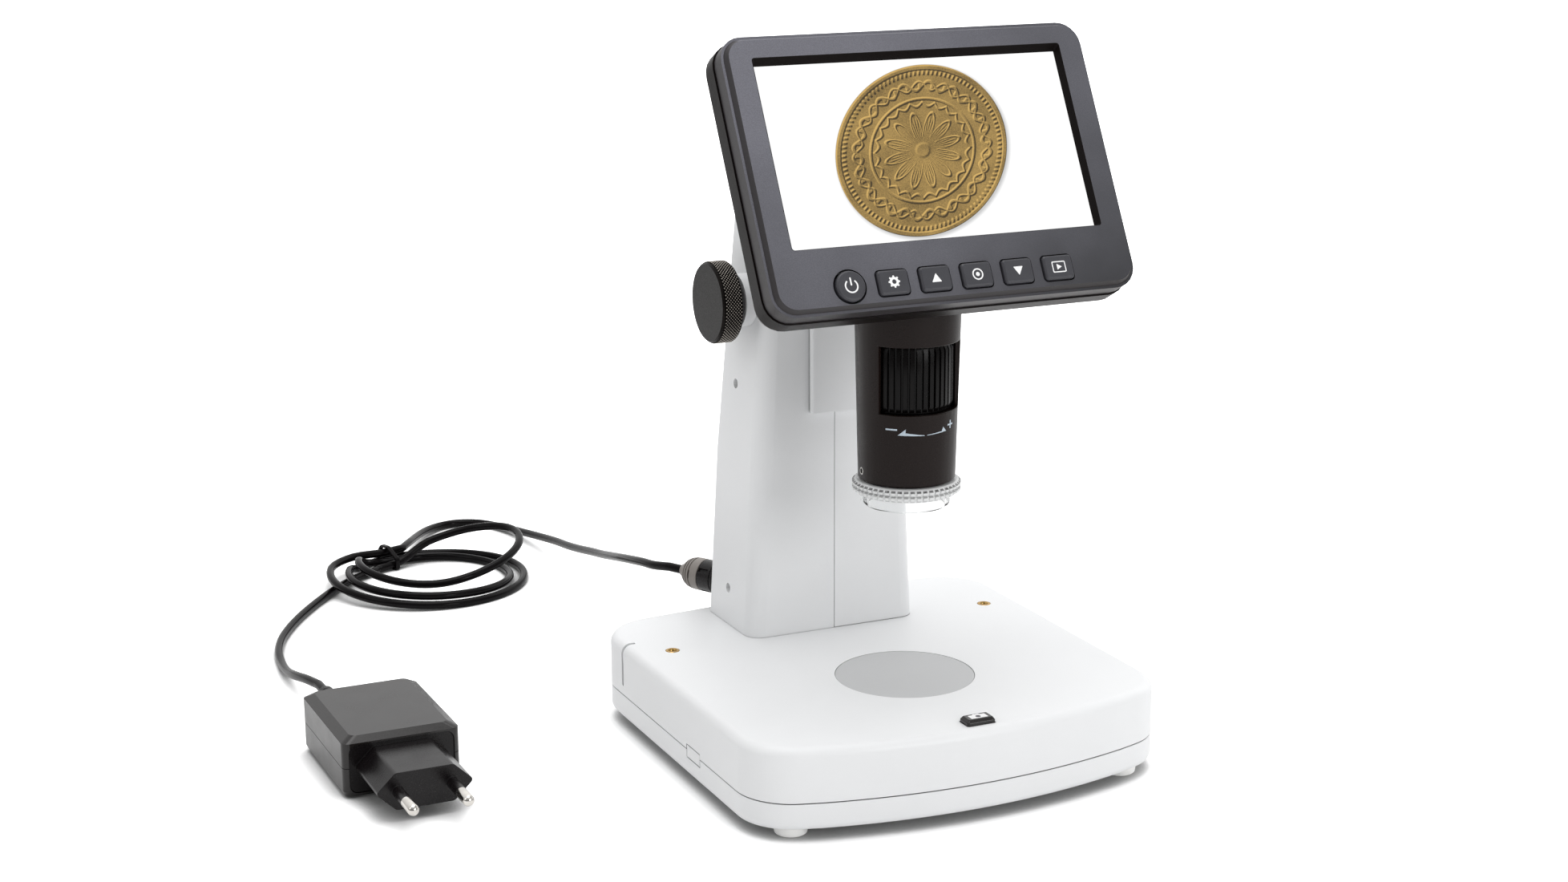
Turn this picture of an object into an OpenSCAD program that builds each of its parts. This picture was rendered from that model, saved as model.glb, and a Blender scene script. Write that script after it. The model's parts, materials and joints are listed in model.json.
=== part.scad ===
// Digital microscope with its own display: a weighted white stand with a rack and pinion
// column, a tilted display head over a zoom tube, and a plug-in supply with its coiled cord.
// Millimetres. The origin is at the middle of the stand's footprint, on the table.

/* [Base] */
// Width of the base
base_w = 155; // [140:1:170]
// Distance from the middle of the footprint to the middle of the front edge
base_front = 80.2; // [76:0.2:84]
// Distance from the middle of the footprint to the middle of the rear edge
base_rear = 80.2; // [78:0.2:84]
// Height of the stage surface above the table
base_top = 32; // [30:0.5:34]
// Height of the seam between the two base shells
base_seam = 13.2; // [12:0.1:14]
// Height of the rubber feet
foot_h = 3.7; // [3:0.1:4.5]
// Diameter of the round stage disc
disc_d = 48.4; // [44:0.2:52]
// Distance between the two threaded inserts in the stage
insert_spacing = 126.6; // [120:0.2:130]

/* [Column] */
// Width of the column where it meets the base
column_w = 67; // [62:0.5:72]
// Height of the column's top above the table
column_top = 208; // [204:0.5:212]
// Y of the column's flat front face
column_front = 35; // [33:0.5:37]
// Height of the focus shaft
shaft_z = 154; // [150:0.5:158]
// Diameter of the two focus knobs
knob_d = 29.2; // [26:0.2:32]

/* [Focus drive] */
// Gear module of the rack and pinion
gear_module = 0.8; // [0.8:0.1:0.8]
// Teeth on the pinion
pinion_teeth = 16; // [16:1:16]

/* [Display] */
// Angle between the display and the vertical
display_tilt = 28; // [24:1:32]
// Width of the lit picture
screen_w = 110.7; // [100:0.1:112]
// Height of the lit picture
screen_h = 62.2; // [58:0.1:63]
// Height of the picture's centre above the table
screen_z = 216.1; // [214:0.1:220]
// Y of the picture's centre
screen_y = -33; // [-34:0.5:-32]
// Depth of the housing behind the picture
housing_depth = 14.5; // [14:0.5:16]

/* [Optics] */
// Distance of the optical axis in front of the footprint's middle
axis_y = -21; // [-22:0.5:-20]
// Outer diameter of the tube's lower rim
tube_d_low = 33.1; // [32:0.1:34]
// Outer diameter of the tube under the display
tube_d_high = 35.9; // [35:0.1:37]
// Height of the tube's lower rim
tube_z_low = 103; // [100:0.5:106]
// Diameter of the clear cap's beaded flange
cap_d = 37.1; // [36:0.1:39]

/* [Power cord] */
// Diameter of the cord
cord_d = 3.4; // [3:0.1:3.6]
// Sides of the cord's free stretches
cord_sides = 8; // [8:1:8]
// Sides of the coil's tube
coil_sides = 6; // [6:1:6]
// Rings in one loop of the coil
coil_rings = 24; // [24:1:24]

/* [Adapter] */
// Width of the adapter's body
adapter_w = 41; // [38:0.5:44]
// Length of the adapter's body
adapter_l = 53; // [48:0.5:58]
// Height of the adapter's body
adapter_h = 21.7; // [20:0.1:24]
// Distance between the two mains pins
pin_spacing = 18.6; // [18.6:0.1:18.6]

/* [Hidden] */

wall = 2.4;
seam = 0.2;
lift = 0.01;
slice = 0.05;

// Base outline: bowed front and rear edges between straight sides
base_half = base_w / 2;
base_corner_r = 20;
front_bow = 13.7;
rear_bow = 5;
base_edge = 3.3;
foot_x = 62.5;
foot_front_y = -61.5;
foot_rear_y = 60;
foot_r = 5.9;
foot_seat = 1.5;
ballast_top = 7.8;
board_z = [9.6, 11.2];
board_posts = [[-57.5, -40], [-57.5, 40], [22, -66], [-22, -66]];
boss_x = 46;
boss_front_y = -62;
boss_rear_y = 68;
insert_y = 36.5;
disc_t = 3;
disc_seat_r = 22;
key_cut = [10.8, 6.6];
snap_y = -73;
slit_y = 49.5;
slit_w = 1.6;
slit_z = 16.6;
slit_in = 5;
wheel_r = 7.2;
wheel_x = -69.5;
wheel_z = 22;
flap_y = [-21.2, -9.9];
flap_z = [10.4, 15.0];
flap_t = 1.2;

// Column: each station gives height, half width, rear end of the flat side and front edge
column_r = 6;
rear_out = 7;
rear_in = 13.2;
station_z = [base_top, 95, 150, column_top - 3, column_top];
station_half = [column_w / 2, column_w / 2 - 3, column_w / 2 - 5.7, column_w / 2 - 8.3, column_w / 2 - 11];
station_side = [72.5, 71.3, 66.5, 61, 58.3];
station_front = [0, 0, 0, 0, 2.5];
slot_half = 6;
slot_z = [135, 190.5];
column_screw_y = 56.5;
column_screw_z = [45.5, 122];
foot_holes = [[-22, 46], [22, 46], [-22, 62], [22, 62]];

// Rack and pinion: the rack stands in front of the shaft
shaft_y = 49.2;
shaft_r = 2.5;
knob_boss_x = 32;
knob_boss_r = 9.4;
pitch_r = gear_module * pinion_teeth / 2;
tooth_pitch = PI * gear_module;
rack_z = [137, 187];
rod_x = 14;
rod_y = 41.5;
rod_r = 2;

// Carriage and its arm
plate_half = 10.3;
plate_z = [114, 196];
plate_y = [32, 34.7];
slider_z = [160, 184];

// Display, in its own axes: u to the right, v up the screen and w towards the viewer
face_w = 3;
rim_w = 1;
frame_back_w = -5;
rim_u = 66;
rim_v = [-53, 41];
key_v = -45;
key_pitch = 15.05;
key_first_u = -39.2;
key_size = [10.8, 8.2];
key_proud = 1.2;
board_w = -8.6;
display_bosses = [[-60.7, -44], [60.7, -44], [-60.7, 30], [60.7, 30]];

// Tube
tube_top = 168;
window_z = [128, 151];
window_half_angle = 61;
wheel_outer = 15.5;
bore_r = 15.8;
spigot_r = 15;
spigot_z = 98.6;

// Power plug: it points backwards and to the left out of the column's chamfered corner
jack_turn = 28;
jack_pos = [-26.4, 75.8, 42.5];
jack_axis = [-sin(jack_turn), cos(jack_turn), 0];
plug_r = 6.1;
plug_len = 11.5;
relief_len = 19.5;

// Adapter
adapter_x = -166.5;
adapter_y = 26.5;
adapter_seam = 10.9;
nose_len = 26;
pin_r = 2;
pin_len = 19;
sleeve_len = 10;
boot_x = -172.5;
boot_len = 25.5;

// Coil: angle, radius and height at six stations of each loop; the radius is from coil_centre
coil_centre = [-88, 251];
coil_angles = [110, 136, 160, 265, 365, 430];
coil_loops = [
    [[32, 6.4], [38, 7], [42, 6.5], [39.5, 1.8], [40, 1.8], [36, 2]],
    [[34.2, 2.6], [33.8, 2.8], [34, 6], [37, 5], [33, 1.8], [31.2, 2]],
    [[30.2, 2.6], [30.4, 5.4], [30, 10], [26, 7], [40, 17], [28.5, 10.5]]];
tie_w = 2;
coil_end = [25.6, 2.3];
coil_turns = len(coil_loops);

// Routes of the free stretches, from the plug to the coil and from the coil to the adapter
lead_middle = [[-41.5, 108, 41], [-42, 118, 39.5], [-41.5, 130, 37], [-40, 145, 33.5], [-37.5, 163, 29],
    [-35, 181, 24.5], [-33, 199, 20.5], [-31.5, 217, 16.5], [-30.5, 235, 13], [-29.5, 253, 10],
    [-29.5, 270, 7.2], [-30.5, 286, 4.8], [-32.5, 301, 2.9], [-36.5, 314, 1.9], [-43, 323, 1.8],
    [-52, 327, 1.8], [-61, 325, 2], [-69, 318, 2.8], [-75.5, 309, 3.8], [-81, 299.5, 5], [-85.5, 291.5, 6]];
tail_middle = [[-108, 269, 2], [-114.5, 265.8, 1.8], [-121, 260.5, 1.8], [-128.5, 253, 1.8],
    [-136.5, 243.5, 1.8], [-144.5, 233, 1.8], [-152.5, 221.5, 1.8], [-160, 209, 1.8], [-166.5, 195.5, 1.8],
    [-171, 181, 1.8], [-173.2, 167, 2], [-174.5, 153, 3.6], [-174.8, 139, 6.5], [-174, 126, 9.2]];

// ---------- helper functions ----------

function unit(v) = v / norm(v);

// Points of a polygon whose corners are rounded to the given radii
function rounded(pts, radii, steps = 6) = [
    for (i = [0:len(pts) - 1])
        let (p = pts[i],
            a = unit(pts[(i + len(pts) - 1) % len(pts)] - p),
            b = unit(pts[(i + 1) % len(pts)] - p),
            r = radii[i])
        each r == 0 ? [p] :
            let (half = acos(a * b) / 2,
                c = p + unit(a + b) * r / sin(half),
                s = p + a * r / tan(half) - c,
                e = p + b * r / tan(half) - c,
                s_angle = atan2(s[1], s[0]),
                sweep = (atan2(e[1], e[0]) - s_angle + 540) % 360 - 180)
            [for (k = [0:steps]) c + r * [cos(s_angle + sweep * k / steps), sin(s_angle + sweep * k / steps)]]];

function rect(x, y, r, steps = 6) =
    rounded([[x[0], y[0]], [x[1], y[0]], [x[1], y[1]], [x[0], y[1]]], [r, r, r, r], steps);

function centred_rect(size, r, steps = 4) = rect([-size[0] / 2, size[0] / 2], [-size[1] / 2, size[1] / 2], r, steps);

function front_y(x) = -base_front + front_bow * pow(x / base_half, 2);
function rear_y(x) = base_rear - rear_bow * pow(x / base_half, 2);

// Loop moved inwards by d, every edge staying parallel to itself
function inset_loop(pts, d) = [
    for (i = [0:len(pts) - 1])
        let (p = pts[i],
            a = unit(p - pts[(i + len(pts) - 1) % len(pts)]),
            b = unit(pts[(i + 1) % len(pts)] - p),
            na = [-a[1], a[0]],
            nb = [-b[1], b[0]])
        p + d * (na + nb) / (1 + na * nb)];

bow_x = [-56:28:56];
base_loop = let (corner = base_corner_r,
        front = [for (x = bow_x) [x, front_y(x)]],
        rear = [for (x = bow_x) [-x, rear_y(x)]])
    rounded(
        concat([[-base_half, front_y(base_half)]], front, [[base_half, front_y(base_half)]],
            [[base_half, rear_y(base_half)]], rear, [[-base_half, rear_y(base_half)]]),
        concat([corner], [for (p = front) 0], [corner, corner], [for (p = rear) 0], [corner]), 6);

function base_outline(inset) = inset == 0 ? base_loop : inset_loop(base_loop, inset);

// Levels of a rounded upper edge, as height and inset
function edge_levels(z, r, steps) = [for (k = [0:steps])
    [z - r + r * sin(90 * k / steps), r - r * cos(90 * k / steps)]];

function column_plan(i, inset) =
    let (half = station_half[i] - inset,
        front = column_front + station_front[i] + inset,
        side = station_side[i] - inset * 0.4,
        back = station_side[i] + rear_out - inset,
        r = column_r - inset)
    rounded([[-half, front], [half, front], [half, side], [half - rear_in, back],
        [-half + rear_in, back], [-half, side]], [r, r, 1.5, 3, 3, 1.5], 5);

// Half width of the column's wall at a height, between the first stations
function column_half(z) = lookup(z, [for (i = [0:len(station_z) - 1]) [station_z[i], station_half[i]]]);

// Smooth curve through points, with steps pieces between two points
function through(pts, steps) =
    let (n = len(pts) - 1)
    concat([for (i = [0:n - 1], k = [0:steps - 1])
        let (t = k / steps,
            p0 = pts[max(i - 1, 0)], p1 = pts[i], p2 = pts[i + 1], p3 = pts[min(i + 2, n)])
        (2 * p1 + (p2 - p0) * t + (2 * p0 - 5 * p1 + 4 * p2 - p3) * t * t
            + (3 * p1 - p0 - 3 * p2 + p3) * t * t * t) / 2], [pts[n]]);

// Coil stations in a row, as angle, radius and height
coil_stations = concat(
    [for (k = [0:coil_turns - 1], i = [0:len(coil_angles) - 1])
        [coil_angles[i] + 360 * k, coil_loops[k][i][0], coil_loops[k][i][1]]],
    [[coil_angles[0] + 360 * coil_turns, coil_end[0], coil_end[1]]]);

function station_slope(i) = (i <= 0 || i >= len(coil_stations) - 1) ? [0, 0] :
    let (a = coil_stations[i - 1], b = coil_stations[i + 1]) [b[1] - a[1], b[2] - a[2]] / (b[0] - a[0]);

// Radius and height at an angle, on a smooth curve through the stations
function coil_at(angle) =
    let (below = [for (i = [0:len(coil_stations) - 2]) if (coil_stations[i][0] <= angle) i],
        i = max(below),
        a = coil_stations[i], b = coil_stations[i + 1],
        span = b[0] - a[0], t = (angle - a[0]) / span)
    (2 * t * t * t - 3 * t * t + 1) * [a[1], a[2]] + (t * t * t - 2 * t * t + t) * span * station_slope(i)
        + (3 * t * t - 2 * t * t * t) * [b[1], b[2]] + (t * t * t - t * t) * span * station_slope(i + 1);

function coil_point(angle) =
    let (q = coil_at(angle))
    [coil_centre[0] + q[0] * cos(angle), coil_centre[1] + q[0] * sin(angle), q[1]];

coil_start_angle = coil_angles[0];
coil_end_angle = coil_angles[0] + 360 * coil_turns;
coil_in = unit(coil_point(coil_start_angle + 1) - coil_point(coil_start_angle));
coil_out = unit(coil_point(coil_end_angle) - coil_point(coil_end_angle - 1));
coil_first = coil_point(coil_start_angle) - cord_d * coil_in;
coil_last = coil_point(coil_end_angle) + cord_d * coil_out;
coil_path = concat([coil_first],
    [for (i = [0:coil_turns * coil_rings]) coil_point(coil_start_angle + 360 * i / coil_rings)],
    [coil_last]);

relief_end = jack_pos + relief_len * jack_axis;
lead_path = concat([relief_end, relief_end + cord_d * jack_axis],
    through(concat([relief_end + 2 * cord_d * jack_axis], lead_middle, [coil_first - 1.6 * cord_d * coil_in]), 2),
    [coil_first - cord_d * coil_in, coil_first]);

boot_end = [boot_x, adapter_y + adapter_l + boot_len, adapter_seam];
tail_path = concat([coil_last, coil_last + cord_d * coil_out],
    through(concat([coil_last + 1.6 * cord_d * coil_out], tail_middle, [boot_end + [0, 2.4 * cord_d, 0]]), 2),
    [boot_end + [0, cord_d, 0], boot_end]);

function path_length(path) =
    let (steps = [for (i = [1:len(path) - 1]) norm(path[i] - path[i - 1])])
    steps * [for (s = steps) 1];

// Least distance between the coil's centre line and itself, away from neighbouring points
function coil_gap(skip) = min([for (i = [0:len(coil_path) - 1 - skip], j = [i + skip:len(coil_path) - 1])
    norm(coil_path[i] - coil_path[j])]) - cord_d;

echo(coil_self_gap = coil_gap(12), coil_length = path_length(coil_path),
    lead_length = path_length(lead_path), tail_length = path_length(tail_path));

// ---------- helper modules ----------

module prism(pts, z0, z1) {
    translate([0, 0, z0]) linear_extrude(z1 - z0) polygon(pts);
}

// A closed tube along a path, every ring square to it
module swept_tube(path, r, sides) {
    n = len(path);
    rings = [for (i = [0:n - 1])
        let (t = unit(path[min(i + 1, n - 1)] - path[max(i - 1, 0)]),
            side = unit(cross(t, [0, 0, 1])),
            up = cross(side, t))
        each [for (k = [0:sides - 1])
            path[i] + r * (cos(360 * (k + 0.5) / sides) * side + sin(360 * (k + 0.5) / sides) * up)]];
    walls = [for (i = [0:n - 2], k = [0:sides - 1])
        let (a = i * sides + k, b = i * sides + (k + 1) % sides, c = a + sides, d = b + sides)
        each [[a, b, c], [b, d, c]]];
    first_cap = [for (k = [1:sides - 2]) [0, k + 1, k]];
    last_cap = [for (k = [1:sides - 2]) [(n - 1) * sides, (n - 1) * sides + k, (n - 1) * sides + k + 1]];
    polyhedron(rings, concat(walls, first_cap, last_cap));
}

// A solid through rings of equal point counts; each level is a height and its outline
module loft(levels) {
    n = len(levels[0][1]);
    last = (len(levels) - 1) * n;
    points = [for (level = levels, p = level[1]) [p[0], p[1], level[0]]];
    walls = [for (i = [0:len(levels) - 2], k = [0:n - 1])
        let (a = i * n + k, b = i * n + (k + 1) % n, c = a + n, d = b + n)
        each [[a, c, b], [b, c, d]]];
    polyhedron(points, concat(walls, [[for (k = [0:n - 1]) k]], [[for (k = [n - 1:-1:0]) last + k]]));
}

module along_x(x0, x1, r) {
    translate([x0, 0, 0]) rotate([0, 90, 0]) cylinder(h = x1 - x0, r = r, $fn = 64);
}

module bar(r, z0, z1) {
    translate([0, 0, z0]) cylinder(h = z1 - z0, r = r, $fn = 64);
}

module block(x, y, z) {
    translate([x[0], y[0], z[0]]) cube([x[1] - x[0], y[1] - y[0], z[1] - z[0]]);
}

// Places children in the display's axes
module on_display() {
    translate([0, screen_y, screen_z]) rotate([90 - display_tilt, 0, 0]) children();
}

module on_tube() {
    translate([0, axis_y, 0]) children();
}

// Places children with z along the power plug
module on_jack() {
    translate(jack_pos) rotate([0, 0, jack_turn]) rotate([-90, 0, 0]) children();
}

// ---------- base ----------

module base_solid(levels) {
    hull() for (level = levels)
        prism(base_outline(level[1]), level[0], level[0] + slice);
}

module base_bosses(z0, z1, outer, inner) {
    for (x = [-boss_x, boss_x], y = [boss_front_y, boss_rear_y]) translate([x, y, 0])
        difference() {
            bar(outer, z0, z1);
            bar(inner, z0 - 1, z1 + 1);
        }
}

module flap_recess(depth) {
    block([-base_half - 1, -base_half + depth], flap_y, flap_z);
}

module base_top_shell() {
    color("white") difference() {
        union() {
            difference() {
                base_solid(concat([[base_seam + seam / 2, 0]], edge_levels(base_top - slice, base_edge, 4)));
                base_solid([[base_seam - 1, wall], [base_top - 4.4, wall], [base_top - wall, wall + 2.2]]);
            }
            on_tube() bar(disc_seat_r + 5, base_top - disc_t - wall, base_top - wall + 0.2);
            for (x = [-1, 1]) translate([x * insert_spacing / 2, insert_y, 0])
                bar(4.2, 22, base_top - wall + 0.2);
            base_bosses(base_seam + seam / 2, base_top - wall + 0.2, 3.6, 1.2);
            block([-8.4, 8.4], [snap_y - 0.4, snap_y + 6], [22, base_top - wall + 0.2]);
        }
        on_tube() bar(disc_d / 2 + 0.1, base_top - disc_t, base_top + 1);
        on_tube() bar(disc_seat_r, 20, base_top + 1);
        for (x = [-1, 1]) translate([x * insert_spacing / 2, insert_y, 0]) bar(2.6, 24, base_top + 1);
        translate([0, snap_y, 0]) prism(centred_rect(key_cut, 0.8), 20, base_top + 1);
        block([-base_half - 1, -base_half + slit_in], [slit_y - slit_w / 2, slit_y + slit_w / 2],
            [slit_z, base_top + 1]);
        flap_recess(wall + 1);
        block([-14, 14], [44, 64], [20, base_top + 1]);
        for (p = foot_holes) translate([p[0], p[1], 0]) bar(1.7, 20, base_top + 1);
    }
}

module base_bottom_shell() {
    color("white") difference() {
        union() {
            difference() {
                base_solid([[foot_h, 2.6], [foot_h + 0.4, 1.3], [foot_h + 1.3, 0.4], [foot_h + 2.6, 0],
                    [base_seam - seam / 2 - slice, 0]]);
                base_solid([[foot_h + wall, wall + 2], [foot_h + wall + 2, wall], [base_seam + 1, wall]]);
            }
            base_bosses(foot_h + 1, base_seam - seam / 2, 4.6, 1.7);
        }
        for (x = [-boss_x, boss_x], y = [boss_front_y, boss_rear_y]) translate([x, y, 0]) {
            bar(1.7, foot_h - 1, base_seam + 1);
            bar(3.2, foot_h - 1, foot_h + 3);
        }
        for (x = [-foot_x, foot_x], y = [foot_front_y, foot_rear_y]) translate([x, y, 0])
            bar(foot_r + 0.1, foot_h - 1, foot_h + foot_seat);
        flap_recess(wall + 1);
    }
}

module feet() {
    color("gainsboro") for (x = [-foot_x, foot_x], y = [foot_front_y, foot_rear_y]) translate([x, y, 0])
        rotate_extrude($fn = 48) polygon([[0, 0], [foot_r - 1.1, 0], [foot_r - 0.4, 0.5], [foot_r, foot_h],
            [foot_r, foot_h + foot_seat - 0.05], [0, foot_h + foot_seat - 0.05]]);
}

module base_screws() {
    color("silver") for (x = [-boss_x, boss_x], y = [boss_front_y, boss_rear_y]) translate([x, y, 0]) {
        bar(2.9, foot_h + 0.9, foot_h + 2.95);
        bar(1.15, foot_h + 2.9, base_seam + 8);
    }
}

module ballast_plate() {
    color("dimgray") block([-48, 58], [-46, 34], [foot_h + wall + 0.02, ballast_top]);
}

module base_board() {
    color("darkgreen") {
        block([-32, 32], [-75.2, -52], board_z);
        block([-62, -30], [-56, -47], board_z);
        block([-62, -53], [-48, 58], board_z);
        block([-74.6, -61], [-27, -4], board_z);
        block([-74.6, -61], [46, 58], board_z);
        for (p = board_posts) translate([p[0], p[1], 0]) bar(2, foot_h + wall + 0.02, board_z[0] + lift);
    }
    color("black") {
        block([-5, 5], [snap_y - 1.6, snap_y + 1.6], [board_z[1] - lift, 24]);
        block([-16, -4], [-66, -56], [board_z[1] - lift, 12.6]);
    }
}

module stage_disc() {
    color("silver") on_tube() bar(disc_d / 2, base_top - disc_t + 0.02, base_top - 0.1);
}

module stage_light() {
    color("white") on_tube() {
        difference() {
            bar(21, 18, 19.6);
            bar(2, 17, 21);
        }
        for (i = [0:7]) rotate([0, 0, 45 * i]) translate([13, 0, 0])
            translate([-1.75, -1.4, 19.6 - lift]) cube([3.5, 2.8, 1.1]);
        for (i = [0:2]) rotate([0, 0, 120 * i + 30]) translate([18, 0, 0]) bar(1.6, ballast_top + 0.02, 18 + lift);
    }
}

module threaded_inserts() {
    color("goldenrod") for (x = [-1, 1]) translate([x * insert_spacing / 2, insert_y, 0]) difference() {
        bar(2.5, 24.2, base_top + 0.15);
        bar(1.25, 23, base_top + 1);
    }
}

module card_socket() {
    color("silver") difference() {
        block([-73.5, -59], [flap_y[0] - 1, flap_y[1] + 1], [11.25, 14.2]);
        block([-74, -61], flap_y, [12.2, 13.4]);
    }
}

module dimmer_pot() {
    color("dimgray") {
        block([wheel_x - 4.5, wheel_x + 4.5], [slit_y + 1.6, slit_y + 6.6], [board_z[1] + 0.05, wheel_z + 4.5]);
        translate([wheel_x, slit_y - 1.4, wheel_z]) rotate([-90, 0, 0]) cylinder(h = 3.1, r = 1.5, $fn = 32);
    }
}

module dimmer_wheel() {
    color("black") translate([wheel_x, slit_y - 0.6, wheel_z]) rotate([-90, 0, 0]) difference() {
        cylinder(h = 1.2, r = wheel_r, $fn = 96);
        translate([0, 0, -1]) cylinder(h = 4, r = 1.56, $fn = 32);
    }
}

module port_flap() {
    color("white") block([-base_half, -base_half + flap_t], [flap_y[0] + 0.15, flap_y[1] - 0.25],
        [flap_z[0] + 0.2, flap_z[1] - 0.2]);
}

module snapshot_key() {
    color("black") translate([0, snap_y, 0]) loft([[25, centred_rect([10.4, 6.2], 0.9)],
        [base_top + 1, centred_rect([10.4, 6.2], 0.9)], [base_top + 2, centred_rect([8.8, 4.6], 0.5)]]);
}

// ---------- column ----------

module column_solid(inset) {
    last = len(station_z) - 1;
    loft([for (i = [0:last]) [station_z[i] - (i == last ? inset : i == 0 ? inset / 4 : 0), column_plan(i, inset)]]);
}

module column_shell(side) {
    x_in = side < 0 ? [-60, -seam / 2] : [seam / 2, 60];
    difference() {
        union() {
            difference() {
                column_solid(0);
                column_solid(wall);
                block([-40, 40], [30, 90], [base_top - 1, base_top + 0.05]);
            }
            translate([0, shaft_y, shaft_z]) {
                along_x(-knob_boss_x, -20, knob_boss_r);
                along_x(20, knob_boss_x, knob_boss_r);
            }
            for (z = column_screw_z) translate([0, column_screw_y, z])
                along_x(-column_half(z) + 1, column_half(z) - 1, 4);
        }
        block(side < 0 ? [-seam / 2, 60] : [-60, seam / 2], [20, 100], [0, 240]);
        translate([0, shaft_y, shaft_z]) along_x(-60, 60, 6);
        block([-slot_half, slot_half], [30, column_front + wall + 1], slot_z);
        for (z = column_screw_z) translate([0, column_screw_y, z]) {
            along_x(-60, -column_half(z) + 4, 1.8);
            along_x(-60, 0, 1.1);
            along_x(0, 14, 1);
        }
        if (side < 0) on_jack() translate([0, 0, -20]) cylinder(h = 30, r = 6.2, $fn = 64);
    }
}

module column_left_shell() {
    color("white") column_shell(-1);
}

module column_right_shell() {
    color("white") column_shell(1);
}

module column_screws() {
    color("silver") {
        for (z = column_screw_z) translate([0, column_screw_y, z]) {
            along_x(-column_half(z) + 2, -column_half(z) + 3.95, 1.7);
            along_x(-column_half(z) + 3.9, 12, 0.95);
        }
        for (p = foot_holes) translate([p[0], p[1], 0]) {
            bar(2.9, base_top - wall - 2.4, base_top - wall - 0.05);
            bar(1.6, base_top - wall - 0.1, base_top + 3);
        }
    }
}

module column_foot_plate() {
    color("silver") difference() {
        block([-27, 27], [rod_y - 3.2, 66], [base_top + 0.1, base_top + 3.1]);
        block([-12, 12], [46, 62], [base_top - 1, base_top + 5]);
        for (x = [-rod_x, rod_x]) translate([x, rod_y, 0]) bar(rod_r + 0.02, base_top - 1, base_top + 5);
        for (p = foot_holes) translate([p[0], p[1], 0]) bar(1.7, base_top - 1, base_top + 5);
    }
}

module rod_clamp() {
    color("gainsboro") difference() {
        block([-19, 19], [column_front + wall + 0.2, 48], [200.5, 205]);
        block([-5, 5], [column_front, 44.6], [199, 207]);
        for (x = [-rod_x, rod_x]) translate([x, rod_y, 0]) bar(rod_r + 0.02, 190, 210);
    }
}

module guide_rods() {
    color("silver") for (x = [-rod_x, rod_x]) translate([x, rod_y, 0]) bar(rod_r, base_top + 0.1, 205);
}

module shaft_bushes() {
    color("goldenrod") translate([0, shaft_y, shaft_z]) for (side = [-1, 1])
        rotate([0, 0, side < 0 ? 180 : 0]) difference() {
            union() {
                along_x(18.9, knob_boss_x - 0.1, 5.95);
                along_x(18.9, 19.95, 7.5);
            }
            along_x(10, 40, shaft_r + 0.05);
        }
}

module dc_jack() {
    color("black") on_jack() difference() {
        union() {
            translate([0, 0, -13]) cylinder(h = 13.2, r = 6.1, $fn = 64);
            translate([0, 0, -6.2]) cylinder(h = 2, r = 7.1, $fn = 64);
        }
        difference() {
            translate([0, 0, -10]) cylinder(h = 12, r = 2.9, $fn = 48);
            translate([0, 0, -11]) cylinder(h = 10, r = 1, $fn = 32);
        }
    }
}

// ---------- focus drive ----------

module focus_shaft() {
    color("silver") translate([0, shaft_y, shaft_z]) along_x(-42, 42, shaft_r);
}

// One pinion tooth in the plane across the shaft, standing along -y before turning
function tooth_outline(turn) =
    let (root = pitch_r - 1.2 * gear_module, tip = pitch_r + 0.85 * gear_module,
        half_root = 0.82 * gear_module, half_pitch = 0.66 * gear_module, half_tip = 0.34 * gear_module,
        points = [[-half_root, root - 0.6], [-half_root, root], [-half_pitch, pitch_r], [-half_tip, tip],
            [half_tip, tip], [half_pitch, pitch_r], [half_root, root], [half_root, root - 0.6]])
    [for (p = points) [p[0] * cos(turn) - p[1] * sin(turn), p[0] * sin(turn) + p[1] * cos(turn)]];

module pinion() {
    color("goldenrod") translate([-4, shaft_y, shaft_z]) rotate([90, 0, 90]) difference() {
        union() {
            cylinder(h = 8, r = pitch_r - 1.25 * gear_module, $fn = 64);
            for (i = [0:pinion_teeth - 1])
                linear_extrude(8) polygon(tooth_outline(90 + 360 / pinion_teeth * i));
        }
        translate([0, 0, -1]) cylinder(h = 10, r = shaft_r + 0.02, $fn = 48);
    }
}

module knob() {
    rotate([0, 90, 0]) difference() {
        rotate_extrude($fn = 96) polygon([[0, knob_boss_x + 0.4], [8.2, knob_boss_x + 0.4], [8.2, 35],
            [knob_d / 2 - 0.7, 35], [knob_d / 2, 35.7], [knob_d / 2, 42.2], [knob_d / 2 - 0.8, 43], [0, 43]]);
        translate([0, 0, 20]) cylinder(h = 22.1, r = shaft_r + 0.02, $fn = 48);
    }
}

module knob_left() {
    color("black") translate([0, shaft_y, shaft_z]) rotate([0, 0, 180]) knob();
}

module knob_right() {
    color("black") translate([0, shaft_y, shaft_z]) knob();
}

// ---------- carriage ----------

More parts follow.
